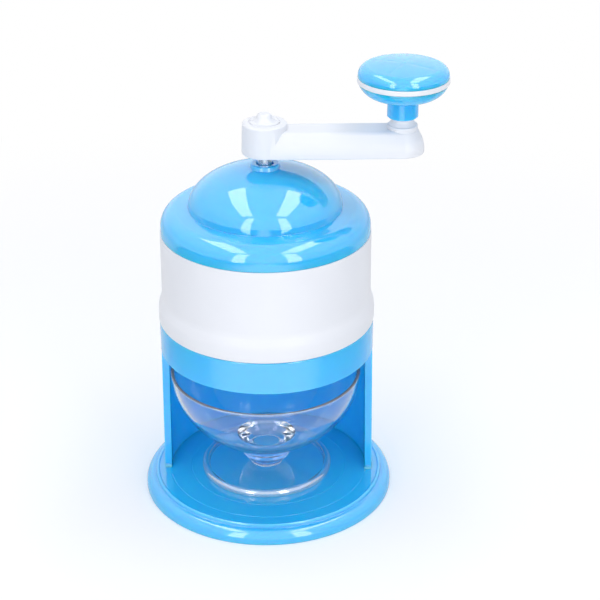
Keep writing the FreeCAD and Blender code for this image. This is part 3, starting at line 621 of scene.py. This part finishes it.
@dataclass(frozen=True)
class Steel(Finish):
    """Steel with the marks of how it was worked, which stretch its highlights.

    Real marks are finer than a picture shows, so they are drawn as coarse as they need to be seen.
    """

    colour: str
    shade: str
    roughness: float
    mark: float = 0.25
    stretch: Triple = (1.0, 1.0, 1.0)
    mark_depth: float = 0.002
    spread: Pair = (0.3, 0.7)
    dullness: Pair = (0.75, 1.4)

    def draw(self, tree: Tree) -> Socket:
        """Draws the metal with its fine working marks."""
        along = node(tree, "Mapping", {}, {"Vector": place_in(tree), "Scale": self.stretch})[0]
        marks = noise(tree, along, self.mark, 3.0)
        return shader(tree, {
            "Base Color": tones(tree, marks, self.shade, self.colour),
            "Metallic": 1.0,
            "Roughness": ramp(tree, marks, self.spread, times(self.roughness, self.dullness)),
            "Normal": relief(tree, marks, self.mark_depth),
        })


# Polished-mould ABS: deep blue with a hard, wet-looking shine.
BLUE_ABS = MouldedPlastic(
    "blue_abs", Slot.BLUE, "#38BEF6", "#34BAF4", 1.58, 0.04, wave_depth=0.003,
    shine=1.0, glow=1.0, reach=(0.2, 2.5, 3.5)
)
# Polypropylene from a satin mould: soft white with broad, weak highlights.
WHITE_PP = MouldedPlastic(
    "white_polypropylene", Slot.WHITE, "#E3E5E9", "#DEE0E5", 1.49, 0.36, wave_depth=0.006, grain_depth=0.002
)
# Cast-clear polystyrene: glass-like, with dark and bright edges; the bright rings at the foot's edge and the lip
# are a painted highlight.
CLEAR_PS = ClearPlastic("clear_polystyrene", Slot.CLEAR, "#FCFDFF")
# Natural acetal: waxy off-white bearing plastic, turned.
ACETAL = MouldedPlastic("natural_acetal", Slot.ACETAL, "#DEDBD0", "#D6D3C7", 1.48, 0.42, grain_depth=0.002)
# Nitrile rubber sheet: matt black, finely grained.
RUBBER = MouldedPlastic(
    "nitrile_rubber", Slot.RUBBER, "#1E1E20", "#262628", 1.52, 0.72, grain=0.7, grain_depth=0.03
)
# Centreless-ground and polished rod: mirror-like, marks run round it.
POLISHED_STEEL = Steel(
    "polished_stainless_rod", Slot.POLISHED, "#E6E8EC", "#DADCE1", 0.24, 0.3, (1.0, 1.0, 4.0), 0.0006
)
# Surface-ground strip: grinding lines run along X.
BLADE_STEEL = Steel("ground_blade_steel", Slot.BLADE, "#C2C4C8", "#A6A8AD", 0.24, 0.4, (0.08, 1.0, 1.0), 0.003)
# Stamped sheet: satin, no direction.
WASHER_STEEL = Steel("stamped_stainless", Slot.WASHER, "#BFC1C5", "#A9ABB0", 0.3, 0.6)
# Drawn wire: satin with a slightly darker draw.
SPRING_WIRE = Steel("drawn_stainless_wire", Slot.SPRING, "#B4B6BA", "#97999E", 0.26, 0.5)
# Bright zinc plate: bluish, slightly cloudy.
ZINC_PLATE = Steel("zinc_plated_steel", Slot.SCREWS, "#BEC3CA", "#A4A9B2", 0.28, 0.8)


def place(name: str, bm: BMesh, finish: Finish, body: Body, nodes: Iterable[str] = ()) -> bpy.types.Object:
    """Makes a finished piece of a mesh in millimetres.

    Args:
        name: the piece's name without its ending.
        bm: its mesh, which is used up.
        finish: what it is made of.
        body: the group it moves with.
        nodes: CAD nodes that it stands for, if not the one of its name.

    Returns:
        The piece.
    """
    nodes = nodes or (name,)
    bmesh.ops.scale(bm, vec=(MILLIMETRE,) * 3, verts=bm.verts[:])
    mesh = as_mesh(f"{name}_visual", bm)
    mesh.shade_smooth()
    mesh.set_sharp_from_angle(angle=math.radians(CRISP_ANGLE))
    mesh.materials.append(finish.material())
    piece = add(f"{name}_visual", mesh)
    piece.modifiers.new("shading", "WEIGHTED_NORMAL").keep_sharp = True
    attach(piece, body.value)
    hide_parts(*nodes)
    LOG.info("%s: %d faces, on %s", piece.name, len(mesh.polygons), body.value)
    return piece


def dress(names: Mapping[str, Finish]) -> None:
    """Gives CAD nodes that keep their shape their material."""
    for name, finish in names.items():
        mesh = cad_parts[name].data
        mesh.materials.clear()
        mesh.materials.append(finish.material())
        LOG.info("%s: kept from the frame", name)


# -------------------- the shaver
# Every Section lists corners as radius (or distance along Y), height and, where it is rounded, its radius.
@dataclass
class Stand:
    """Round base and the open wall with the band that carries the barrel."""

    plate: Section = (  # flat top with its two ring lines
        (0, 9), (43.8, 9, 0.1), (43.8, 8.88), (44.3, 8.88), (44.3, 9, 0.1),
        (55.7, 9, 0.1), (55.7, 8.88), (56.2, 8.88), (56.2, 9, 0.1), (62.4, 9),
    )
    bead: Section = ((63.3, 9.5), (64.2, 8.8))
    groove: Section = ((64.4, 7.6, 0.25), (64.9, 7.4))
    flange: Arc = ((65.3, 1.2), (4.7, 6.2), 90, 0, 30)
    under: Section = ((70, 0.15, 0.3), (67.4, 0.15, 0.2), (67.4, 2), (62.9, 4.8), (0, 4.8))
    channel: Section = ((55.3, 7), (59.4, 7), (59.4, 14), (55.3, 14))
    channel_y: float = -4.1
    upright: Section = ((55.4, 7), (59.3, 7), (59.3, 9), (58.5, 88.2), (54.4, 88.2), (55.4, 9))
    upright_y: float = -4.0
    upright_least: float = 10.0
    upright_edge: float = 0.5
    toe: Section = ((-2.5, 8.8), (-5.6, 8.8), (-5.6, 9, 0.3), (-5.2, 9.585, 0.5), (-4, 10.3, 0.6), (-2.5, 10.3))
    toe_reach: float = 59.3
    toe_ring: Section = ((55.45, 8), (59.25, 8), (59.25, 12), (55.45, 12))
    closed: Section = ((54.4, 87.2, 0.3), (58.7, 87.2, 0.5), (58.7, 105.5, 0.9), (54.4, 105.5, 0.5))
    slot: tuple[Triple, Triple] = ((50.0, -3.8, 90.4), (55.6, 3.8, 107.5))
    pad: Section = ((0, 0), (67.1, 0, 0.4), (67.1, 2), (0, 2))

    def base(self) -> BMesh:
        """Makes the base with its flange, bead, ring lines and the channel for the wall."""
        outline = Outline().to(*self.plate).bow(*self.bead).to(*self.groove).sweep(*self.flange)
        channel = self.cut_front(turned(self.channel), self.channel_y)
        return combine(lathe(outline.to(*self.under)), Joining.DIFFERENCE, channel)

    def cut_front(self, bm: BMesh, y: float) -> BMesh:
        """Takes away what lies in front of a plane, and closes the cut."""
        bmesh.ops.bisect_plane(
            bm, geom=bm.verts[:] + bm.edges[:] + bm.faces[:], dist=MERGE, plane_co=(0, y, 0),
            plane_no=(0, -1, 0), clear_outer=True, clear_inner=False,
        )
        return sealed(bm)

    def wall(self) -> BMesh:
        """Makes the upright wall, open towards the front, with soft vertical edges."""
        wall = self.cut_front(turned(self.upright), self.upright_y)
        ends = [
            edge for edge in wall.edges
            if all(abs(v.co.y - self.upright_y) < SAME_PLACE for v in edge.verts)
            and abs(edge.verts[0].co.z - edge.verts[1].co.z) > self.upright_least
        ]
        bevel_edges(wall, ends, self.upright_edge, 4)
        return wall

    def toes(self) -> BMesh:
        """Makes the small ramps at the foot of the wall's two ends."""
        ramps = prism(self.toe, -self.toe_reach, self.toe_reach)
        return combine(ramps, Joining.INTERSECT, turned(self.toe_ring))

    def band(self) -> BMesh:
        """Makes the closed band with the slots that keep the barrel from turning."""
        return combine(turned(self.closed), Joining.DIFFERENCE, around(block(*self.slot), QUARTERS))

    def build(self) -> None:
        """Builds and places the stand's pieces."""
        place("base_plate", self.base(), BLUE_ABS, Body.STAND)
        housing = combine(self.wall(), Joining.UNION, self.band(), self.toes())
        place("stand_housing", housing, BLUE_ABS, Body.STAND)
        place("anti_slip_pad", turned(self.pad), RUBBER, Body.STAND)
        dress({"housing_screws": ZINC_PLATE})


@dataclass
class Cup:
    """Clear footed dessert cup that stands in the bay."""

    axis_x: float = -1.0
    inside: Arc = ((0, 71), (51.107, 44.2), -90, 0, 44)
    lip: Section = ((52.007, 71.5), (52.907, 71))
    outside: Arc = ((0, 71), (52.907, 46), 0, -71.2573166, 40)
    foot: Section = (
        (15.4, 21.5, 1.6), (12.4, 16.2, 3), (8, 13.2, 2), (9, 11.9, 1.2), (33.2, 11.4, 0.4), (33.5, 12.9, 0.6),
        (36.9, 12.4, 2), (36.9, 9, 0.7), (33, 9, 0.2), (32.6, 9.9, 0.3), (0, 10.4),
    )

    def glass(self) -> BMesh:
        """Makes bowl, stem and hollow foot as one turned wall."""
        outline = Outline().sweep(*self.inside).bow(*self.lip, 10).sweep(*self.outside).to(*self.foot)
        return shift(lathe(outline), self.axis_x)

    def build(self) -> None:
        """Builds and places the cup."""
        place("cup", self.glass(), CLEAR_PS, Body.CUP, ["cup_bowl", "cup_foot"])


@dataclass
class Hopper:
    """White barrel with its skirt, keys and bayonet slots, and the blade floor in it."""

    wall: Section = (
        (51.8, 94, 0.3), (54, 94, 0.3), (54, 105.5), (55.2, 105.5, 0.3), (55.2, 111, 0.6), (57, 111, 0.6),
        (57, 105.5, 0.3), (59, 105.5, 0.9), (59, 113.5, 12), (57, 120, 12), (56.8, 156.5, 0.4),
        (54.3, 156.5, 0.4), (54.3, 110, 1.5), (51.8, 107, 1.5),
    )
    key_radii: Pair = (52.3, 55.3)
    key_half: float = math.degrees(3.5 / 54.0)
    barrel_keys: Pair = (94.0, 105.3)
    disc_keys: Pair = (91.0, 94.0)
    mouth: tuple[Pair, Pair] = ((53.3, 55.6), (149.5, 157.5))
    mouth_turn: Pair = (-5.5, 5.5)
    run: tuple[Pair, Pair] = ((53.3, 55.58), (149.52, 153.1))
    run_turn: Pair = (-23.5, 4.5)
    plate: Section = ((0, 91), (54, 91, 0.4), (54, 94, 0.2), (0, 94))
    wedge: tuple[Triple, Triple] = ((6.0, -11.36, 85.0), (48.0, 2.0, 91.5))
    throat: Section = ((6.5, 97), (6.5, 50), (-29.609927, 50), (-29.609927, 76.45), (2, 94.7), (2, 97))
    throat_ends: Pair = (6.0, 48.0)

    def keys(self, heights: Pair) -> BMesh:
        """Makes the four keys between two heights."""
        return around(sector(self.key_radii, heights, -self.key_half, self.key_half), QUARTERS)

    def barrel(self) -> BMesh:
        """Makes the barrel with keys and bayonet slots."""
        barrel = combine(turned(self.wall), Joining.UNION, self.keys(self.barrel_keys))
        slots = (sector(*self.mouth, *self.mouth_turn), sector(*self.run, *self.run_turn))
        return combine(barrel, Joining.DIFFERENCE, *(around(slot, THIRDS) for slot in slots))

    def disc(self) -> BMesh:
        """Makes the floor with its blade wedge and throat."""
        disc = combine(turned(self.plate), Joining.UNION, self.keys(self.disc_keys), block(*self.wedge, SOFT_EDGE))
        return combine(disc, Joining.DIFFERENCE, prism(self.throat, *self.throat_ends))

    def build(self) -> None:
        """Builds and places the hopper's pieces."""
        place("hopper", self.barrel(), WHITE_PP, Body.HOPPER)
        place("blade_disc", self.disc(), WHITE_PP, Body.HOPPER)
        dress({"disc_screws": ZINC_PLATE, "blade": BLADE_STEEL, "blade_screws": ZINC_PLATE})


@dataclass
class Lid:
    """Blue domed lid with its boss, and the bayonet ring and bearing sleeve bonded in it."""

    boss: Section = ((4.65, 188.4), (4.65, 194.2, 0.25), (7.7, 194.2, 0.7), (8, 191.879693, 0.3))
    dome: Arc = ((0, 170), (41.4, 22.3), 78.8582642, 8, 44)
    crease: Section = ((41.4, 170, 0.2),)
    rim: Arc = ((47.4, 160), (9, 9), 90, 0, 26)
    side: Section = ((56.4, 156.5, 0.4), (54.1, 156.5), (54.1, 161.6), (52, 161.6))
    rim_in: Arc = ((47.4, 161.9), (4.6, 4.6), 0, 90, 14)
    under: Section = ((38.9, 167.3), (38.9, 170))
    dome_in: Arc = ((0, 170), (38.9, 19.8), 1, 65.3800227, 30)
    bore: Section = ((6.55, 188), (6.55, 188.4))
    ring: Section = ((52, 149.5, 0.3), (54, 149.5, 0.4), (54, 161.5, 0.2), (52, 161.5, 0.2))
    lug: tuple[Pair, Pair] = ((53.0, 55.3), (149.8, 152.8))
    lug_turn: Pair = (-4.5, 4.5)
    sleeve: Section = (
        (6.55, 172.4, 0.2), (9.25, 172.4, 0.3), (9.25, 186.5, 0.2), (14.5, 186.5, 0.3), (14.5, 187.9, 0.2),
        (6.55, 187.9),
    )
    bush: Section = (
        (4, 170.9, 0.3), (9.2, 170.9, 0.4), (9.2, 172.4, 0.2), (6.5, 172.4), (6.5, 188.35, 0.3), (4, 188.35, 0.2),
    )
    washer: Section = ((9.55, 185.3, 0.15), (14.1, 185.3, 0.25), (14.1, 186.5, 0.1), (9.55, 186.5, 0.1))

    def shell(self) -> BMesh:
        """Makes the dome with everything that is moulded on it."""
        outline = Outline().to(*self.boss).sweep(*self.dome).to(*self.crease).sweep(*self.rim).to(*self.side)
        outline.sweep(*self.rim_in).to(*self.under).sweep(*self.dome_in).to(*self.bore)
        return lathe(outline)

    def bayonet_ring(self) -> BMesh:
        """Makes the ring whose lugs turn into the barrel's slots."""
        return combine(turned(self.ring), Joining.UNION, around(sector(*self.lug, *self.lug_turn), THIRDS))

    def build(self) -> None:
        """Builds and places the lid's pieces."""
        place("lid", self.shell(), BLUE_ABS, Body.LID)
        place("bayonet_ring", self.bayonet_ring(), BLUE_ABS, Body.LID)
        place("bearing_sleeve", turned(self.sleeve, SMALL_STEPS), BLUE_ABS, Body.LID)
        place("shaft_bush", turned(self.bush, SMALL_STEPS), ACETAL, Body.BEARING)
        place("spring_seat", turned(self.washer, SMALL_STEPS), WASHER_STEEL, Body.BEARING)


@dataclass
class Press:
    """Rod, spring and toothed presser that hang in the lid."""

    shaft: Section = (
        (0, 111.7), (3.95, 111.7, 0.3), (3.95, 188.4), (3.7, 188.4), (3.7, 189.2), (3.95, 189.2),
        (3.95, 204, 0.3), (0, 204),
    )
    square_half: float = 2.75
    squares: tuple[Pair, Pair] = ((103.7, 112.2), (203.5, 212.0))
    spring_ends: Pair = (113.2, 185.3)
    wire_r: float = 0.9
    wire_sides: int = 16
    coil_r: float = 11.6
    coils: int = 8
    coil_steps: int = 44
    closed_rise: float = 1.89
    travel: float = 45.0
    washer: Section = ((4.25, 112, 0.1), (14.1, 112, 0.2), (14.1, 113.2, 0.2), (4.25, 113.2, 0.1))
    plate: Section = (
        (3.9, 102.9), (3.9, 100.5, 0.2), (50.1, 100.5, 0.5), (50.1, 107, 0.5), (47.7, 107, 0.5),
        (47.7, 103.5, 0.6), (9.5, 103.5, 0.8), (9.5, 112, 0.5), (4.05, 112, 0.2), (4.05, 102.9),
    )
    rib: tuple[Triple, Triple] = ((8.5, -0.9, 103.0), (48.7, 0.9, 108.5))
    rib_edge: float = 0.25
    ribs: int = 8
    drain: Drum = (3.6, 99.5, 104.5, 33.8, 40)

    def rod(self) -> BMesh:
        """Makes the rod with its snap-ring groove and square ends."""
        half = self.square_half
        squares = [block((-half, -half, bottom), (half, half, top), SOFT_EDGE) for bottom, top in self.squares]
        return combine(turned(self.shaft, SMALL_STEPS), Joining.UNION, *squares)

    def spring(self) -> BMesh:
        """Makes the coil spring with a closed coil at each end."""
        bottom, top = self.spring_ends
        bm = bmesh.new()
        bmesh.ops.create_circle(bm, segments=self.wire_sides, radius=self.wire_r)
        bmesh.ops.rotate(bm, cent=ORIGIN, matrix=Matrix.Rotation(math.pi / 2, 3, "X"), verts=bm.verts[:])
        shift(bm, self.coil_r, 0, bottom + self.wire_r)
        free = top - bottom - 2 * self.wire_r - 2 * self.closed_rise
        end = bm.verts[:] + bm.edges[:]
        for turns, rise in ((1, self.closed_rise), (self.coils, free), (1, self.closed_rise)):
            steps = turns * self.coil_steps
            end = bmesh.ops.spin(
                bm, geom=end, cent=ORIGIN, axis=UPWARDS, dvec=(0, 0, rise / steps),
                angle=turns * 2 * math.pi, steps=steps, use_merge=False, use_duplicate=False,
            )["geom_last"]
        bmesh.ops.remove_doubles(bm, verts=bm.verts[:], dist=MERGE)
        return sealed(bm)

    def presser(self) -> BMesh:
        """Makes the ribbed plate that pushes the ice, with its drain holes."""
        angles = [i * 360 / self.ribs for i in range(self.ribs)]
        plate = combine(turned(self.plate), Joining.UNION, around(block(*self.rib, self.rib_edge), angles))
        middle = [angle + 180 / self.ribs for angle in angles]
        return combine(plate, Joining.DIFFERENCE, around(drum(*self.drain), middle))

    def build(self) -> None:
        """Builds and places the press's pieces."""
        place("drive_shaft", self.rod(), POLISHED_STEEL, Body.CRANK)
        place("presser_plate", self.presser(), WHITE_PP, Body.CRANK)
        place("thrust_washer", turned(self.washer, SMALL_STEPS), WASHER_STEEL, Body.CARRIAGE)
        spring = place("pressure_spring", self.spring(), SPRING_WIRE, Body.CARRIAGE)
        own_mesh(spring)
        dress({"stop_ring": SPRING_WIRE, "presser_pins": POLISHED_STEEL, "presser_screw": ZINC_PLATE})


@dataclass
class Crank:
    """Hub, hollow arm and the post that carries the knob."""

    beam: Section = ((0, 200), (11.85, 200, 0.8), (11.85, 205.7, 14), (7.8, 213.5, 3), (0, 213.5))
    hub: Section = (
        (0, 200), (12.2, 200, 1), (11.8, 216.6, 0.9), (9.4, 217.4, 3), (8.5, 217.4, 0.5), (8, 216.7, 0.6),
        (3.9, 216.7, 0.1), (3.9, 213.5), (0, 213.5),
    )
    collar: Section = ((0, 210.5), (8.2, 210.5), (8, 215.4, 0.7), (0, 215.4))
    hollow: Section = ((0, 199), (9.45, 199), (9.45, 205.7, 11.6), (5.4, 211.1, 0.6), (0, 211.1))
    hollow_start: float = 13.2
    boss: Drum = (6.4, 200.0, 213.5, 72.0)
    rib: tuple[Triple, Triple] = ((12.2, -0.9, 201.0), (72.0, 0.9, 213.5))
    bores: tuple[Drum, ...] = ((4.05, 199, 212), (2.2, 211.9, 214), (4.1, 201.4, 216.4, 72))
    plug_disc: Section = (
        (0, 216.2), (3.8, 216.2, 0.2), (3.8, 216.75), (7.9, 216.75, 0.1), (7.9, 217.4, 0.25), (6.2, 217.5, 1.6),
        (4.5, 219.4, 1.8), (3.5, 221.8, 2), (0, 222.2),
    )
    notch: Drum = (1.0, 217.2, 218.5, 7.6, 32)
    notch_angles: Pair = (0.0, 180.0)
    pin: Section = (
        (0, 201.6), (4, 201.6, 0.6), (4, 215.4), (7.3, 215.4, 0.15), (5.9, 217.3, 2), (5.9, 219.1, 0.3),
        (4.9, 219.1), (4.9, 236.7, 0.4), (1.5, 236.7), (1.5, 224.2), (0, 224.2),
    )

    def bar(self, section: Section, start: float) -> BMesh:
        """Makes a bar along X with a half-turned end at the knob's axis.

        Args:
            section: its half section, across and up.
            start: where it starts on X.

        Returns:
            The solid.
        """
        bm = shift(on_side(section, False), REACH)
        first = bm.edges[:]
        last = bmesh.ops.spin(
            bm, geom=bm.verts[:] + first, cent=(REACH, 0, 0), axis=UPWARDS, angle=-math.pi,
            steps=END_STEPS, use_merge=False, use_duplicate=False,
        )["geom_last"]
        ends = first + [item for item in last if isinstance(item, BMEdge)]
        grown = bmesh.ops.extrude_edge_only(bm, edges=ends)["geom"]
        verts = [item for item in grown if isinstance(item, BMVert)]
        bmesh.ops.translate(bm, vec=(start - REACH, 0, 0), verts=verts)
        bmesh.ops.remove_doubles(bm, verts=bm.verts[:], dist=MERGE)
        return sealed(bm)

    def arm(self) -> BMesh:
        """Makes hub, arm and collar in one, hollow from below."""
        beam, hollow = self.bar(self.beam, 0.0), self.bar(self.hollow, self.hollow_start)
        arm = combine(beam, Joining.UNION, turned(self.hub), shift(turned(self.collar), REACH))
        hollow = combine(hollow, Joining.DIFFERENCE, drum(*self.boss), block(*self.rib))
        arm = combine(arm, Joining.DIFFERENCE, hollow, *(drum(*bore) for bore in self.bores))
        return turn_mesh(arm, REST_ANGLE)

    def plug(self) -> BMesh:
        """Makes the disc with a round nub that covers the screw, and two notches to lift it by."""
        notches = around(drum(*self.notch), self.notch_angles)
        return combine(turned(self.plug_disc, SMALL_STEPS), Joining.DIFFERENCE, notches)

    def build(self) -> None:
        """Builds and places the crank's pieces."""
        place("crank_arm", self.arm(), WHITE_PP, Body.CRANK)
        place("screw_plug", self.plug(), WHITE_PP, Body.CRANK)
        place("knob_post", at_knob(turned(self.pin, SMALL_STEPS)), WHITE_PP, Body.CRANK)
        dress({"arm_screw": ZINC_PLATE, "post_washer": WASHER_STEEL, "post_screw": ZINC_PLATE})


@dataclass
class Knob:
    """Mushroom knob: blue shell and cap with a white ring between them."""

    stem: Section = ((4.95, 219.4, 0.2), (7.55, 219.4), (8.15, 220), (8.15, 230.7, 0.6), (9.8, 230.7))
    belly: Section = ((20.2, 233.1), (23.6, 238.3))
    edge: Section = ((21.6, 238.3),)
    bowl: Section = ((18.8, 234.8), (10.4, 232.7))
    tube: Section = ((8.15, 232.7, 0.5), (8.15, 236.6, 0.3), (4.95, 236.6, 0.2))
    ring: Section = ((20.5, 238.3), (24.1, 238.3, 0.6), (24.1, 241, 0.6), (20.5, 241))
    gate: Section = ((0, 248.38), (0.55, 248.36, 0.1), (0.9, 248.48))
    crown: Section = ((9.1, 248.200976), (18.2, 247.3))
    side: Arc = ((18.2, 242.2), (5.5, 5.1), 78, 0, 20)
    skirt: Section = (
        (23.7, 241, 0.15), (20.4, 241), (20.4, 237.5, 0.3), (18.8, 237.5, 0.3), (18.8, 242.2), (18.2, 245.3),
    )
    ceiling: Section = ((9.1, 246.200976), (0, 246.5))
    gate_r: float = 1.5
    gate_fade: float = 3.0
    side_fade: float = 2.0
    sink_angles: Pair = (60.0, 150.0)
    sink_w: float = 1.1
    sink_depth: float = 0.11

    def shell(self) -> BMesh:
        """Makes the stem and the bowl that opens upwards."""
        outline = Outline().to(*self.stem).bow(*self.belly, 24).to(*self.edge).bow(*self.bowl).to(*self.tube)
        return at_knob(lathe(outline))

    def cap(self) -> BMesh:
        """Makes the crowned cap, with a gate mark and faint sink lines over its ribs."""
        outline = Outline().to(*self.gate).bow(*self.crown, 40).sweep(*self.side).to(*self.skirt)
        bm = lathe(outline.bow(*self.ceiling, 12))
        crown_r, shoulder = self.crown[-1]
        for vert in bm.verts:
            radius = math.hypot(vert.co.x, vert.co.y)
            if vert.co.z < shoulder or not self.gate_r < radius < crown_r:
                continue
            fade = min(1.0, (radius - self.gate_r) / self.gate_fade, (crown_r - radius) / self.side_fade)
            for angle in map(math.radians, self.sink_angles):
                off = vert.co.x * math.sin(angle) - vert.co.y * math.cos(angle)
                vert.co.z -= self.sink_depth * fade * math.exp(-((off / self.sink_w) ** 2))
        return at_knob(bm)

    def build(self) -> None:
        """Builds and places the knob's pieces."""
        place("knob_shell", self.shell(), BLUE_ABS, Body.KNOB)
        place("knob_ring", at_knob(turned(self.ring)), WHITE_PP, Body.KNOB)
        place("knob_cap", self.cap(), BLUE_ABS, Body.KNOB)


# -------------------- studio
@dataclass
class Panel:
    """One soft light box, as its middle, what it faces and its size, in metres."""

    name: str
    middle: Triple
    facing: Triple
    size: Pair
    lights: float
    shines: float
    face_gap: float = 0.01

    def build(self) -> None:
        """Hangs the panel's light and, just in front of it, its face that only shows in reflections."""
        facing = Vector(self.facing)
        for part, radiance, gap in (("light", self.lights, 0.0), ("face", self.shines, self.face_gap)):
            light = bpy.data.lights.new(f"{self.name}_{part}", "AREA")
            light.shape = "RECTANGLE"
            light.size, light.size_y = self.size
            light.energy = radiance * math.pi * self.size[0] * self.size[1]
            lamp = add(light.name, light)
            lamp.location = Vector(self.middle) + facing * gap
            lamp.rotation_euler = facing.to_track_quat("-Z", "Y").to_euler()
            lamp.visible_camera = False
            lamp.visible_diffuse = not gap
            lamp.visible_glossy = bool(gap)


@dataclass
class Studio:
    """Pale floor, white surroundings, five soft panels and the camera, in metres.

    Light levels are 1.0 for plain white. The spans say where one level turns into the next.
    """

    floor_half: float = 4.0
    fill: float = 0.73
    fill_colour: str = "#F4F7FF"
    seen_colour: str = "#FFFFFF"
    seen: float = 1.0
    mirrored: float = 1.3
    sides: float = 1.0
    side_span: Pair = (0.45, 0.85)
    low_span: Pair = (0.65, 0.3)
    paper: float = 0.9
    floor_glow: float = 0.07
    # painted light and shade seen only in the object's reflections: dim floor beside the object and close in front
    # of it, a bright pool further in front, and a level behind
    floor_shaded_sides: float = 0.25
    floor_shaded_near: float = 0.8
    floor_lit_pool: float = 1.35
    floor_back: float = 0.8
    shadow_room: Pair = (0.22, 0.6)
    narrow_span: Pair = (0.3, 0.1)
    front_span: Pair = (-0.12, -0.165)
    back_span: Pair = (0.06, 0.16)
    camera_at: Triple = (0.036618, -0.811095, 0.513731)
    camera_turn: Triple = (63.75523, 0.10108, 1.24016)
    lens: float = 99.0
    sensor: float = 36.0
    nearest: float = 0.01
    panels: list[Panel] = field(default_factory=lambda: [
        Panel("top_left", (-0.43, 0.0, 1.18), (0, 0, -1), (0.30, 1.25), 2.6, 2.9),
        Panel("top_right", (0.43, 0.0, 1.18), (0, 0, -1), (0.32, 1.25), 2.6, 2.9),
        Panel("front_left", (-0.415, -0.86, 0.65), (0, 1, 0), (0.25, 1.21), 1.7, 2.9),
        Panel("front_right", (0.535, -0.86, 0.65), (0, 1, 0), (0.31, 1.21), 1.7, 2.9),
        Panel("front_low", (0.05, -0.90, 0.20), (0, 1, 0), (0.60, 0.34), 1.9, 0.0),
    ])

    def surroundings(self) -> None:
        """Makes the white world, a little dimmer where it only lights the object."""
        world = bpy.data.worlds.new("studio")
        bpy.context.scene.world = world
        tree = empty_tree(world)
        path = node(tree, "LightPath")
        way = node(tree, "SeparateXYZ", {}, {0: place_in(tree, "Generated")})
        side = ramp(tree, maths(tree, "ABSOLUTE", way["X"]), self.side_span, how=Ramp.SOFT)
        flag = maths(tree, "MULTIPLY", side, ramp(tree, way["Z"], self.low_span, how=Ramp.SOFT))
        shine = blend(tree, flag, self.mirrored, self.sides)
        clear = maths(tree, "MAXIMUM", path["Is Camera Ray"], path["Is Transmission Ray"])
        shown = maths(tree, "MAXIMUM", clear, path["Is Glossy Ray"])
        light = node(tree, "Background", {}, {
            "Color": tones(tree, shown, self.fill_colour, self.seen_colour),
            "Strength": blend(tree, clear, blend(tree, path["Is Glossy Ray"], self.fill, shine), self.seen),
        })
        node(tree, "OutputWorld", {}, {"Surface": light[0]})

    def floor(self) -> None:
        """Lays a plain pale floor that keeps the object's shadow and is plain white further away. In reflections
        only, it shows a painted pool of light in front of the object and painted shade beside it and close in
        front.
        """
        bm = bmesh.new()
        bmesh.ops.create_grid(bm, x_segments=1, y_segments=1, size=self.floor_half)
        mesh = as_mesh("floor", bm)
        made = bpy.data.materials.new("floor_paper")
        mesh.materials.append(made)
        tree = empty_tree(made)
        path = node(tree, "LightPath")
        at = place_in(tree)
        spot = node(tree, "SeparateXYZ", {}, {0: at})
        paper = node(tree, "BsdfDiffuse", {}, {"Color": (self.paper,) * 3 + (1.0,)})[0]
        near = node(tree, "AddShader", {}, {0: paper, 1: glow(tree, self.floor_glow)})[0]
        far = ramp(tree, distance(tree, at), self.shadow_room, how=Ramp.SOFT)
        seen = layers(tree, path["Is Camera Ray"], paper, layers(tree, far, near, glow(tree, self.seen)))
        # painted pools: in reflections the floor is dim beside the object and close in front (painted shade) and
        # bright further in front (painted light)
        narrow = ramp(tree, maths(tree, "ABSOLUTE", spot["X"]), self.narrow_span, how=Ramp.SOFT)
        beyond = ramp(tree, spot["Y"], self.front_span, (self.floor_shaded_near, self.floor_lit_pool), Ramp.SOFT)
        ahead = blend(tree, narrow, self.floor_shaded_sides, beyond)
        painted_pools = blend(tree, ramp(tree, spot["Y"], self.back_span, how=Ramp.SOFT), ahead, self.floor_back)
        level = blend(tree, path["Is Glossy Ray"], self.seen, painted_pools)
        shiny = maths(tree, "MAXIMUM", path["Is Glossy Ray"], path["Is Transmission Ray"])
        node(tree, "OutputMaterial", {}, {"Surface": layers(tree, shiny, seen, glow(tree, level))})
        floor = add("floor", mesh)

    def camera(self) -> None:
        """Sets the camera."""
        data = bpy.data.cameras.new("camera")
        data.lens, data.sensor_width, data.clip_start = self.lens, self.sensor, self.nearest
        camera = add("camera", data)
        camera.location = self.camera_at
        camera.rotation_euler = [math.radians(a) for a in self.camera_turn]
        bpy.context.scene.camera = camera

    def build(self) -> None:
        """Sets up floor, surroundings, lights and camera."""
        self.surroundings()
        self.floor()
        for panel in self.panels:
            panel.build()
        self.camera()
        bpy.context.scene.view_settings.view_transform = "Standard"


def main() -> None:
    """Builds the shaver's sub-assemblies in order, then the studio."""
    logging.basicConfig(level=logging.INFO, format="%(message)s")
    for assembly in (Stand(), Cup(), Hopper(), Lid(), Press(), Crank(), Knob(), Studio()):
        assembly.build()


if __name__ == "__main__":
    main()
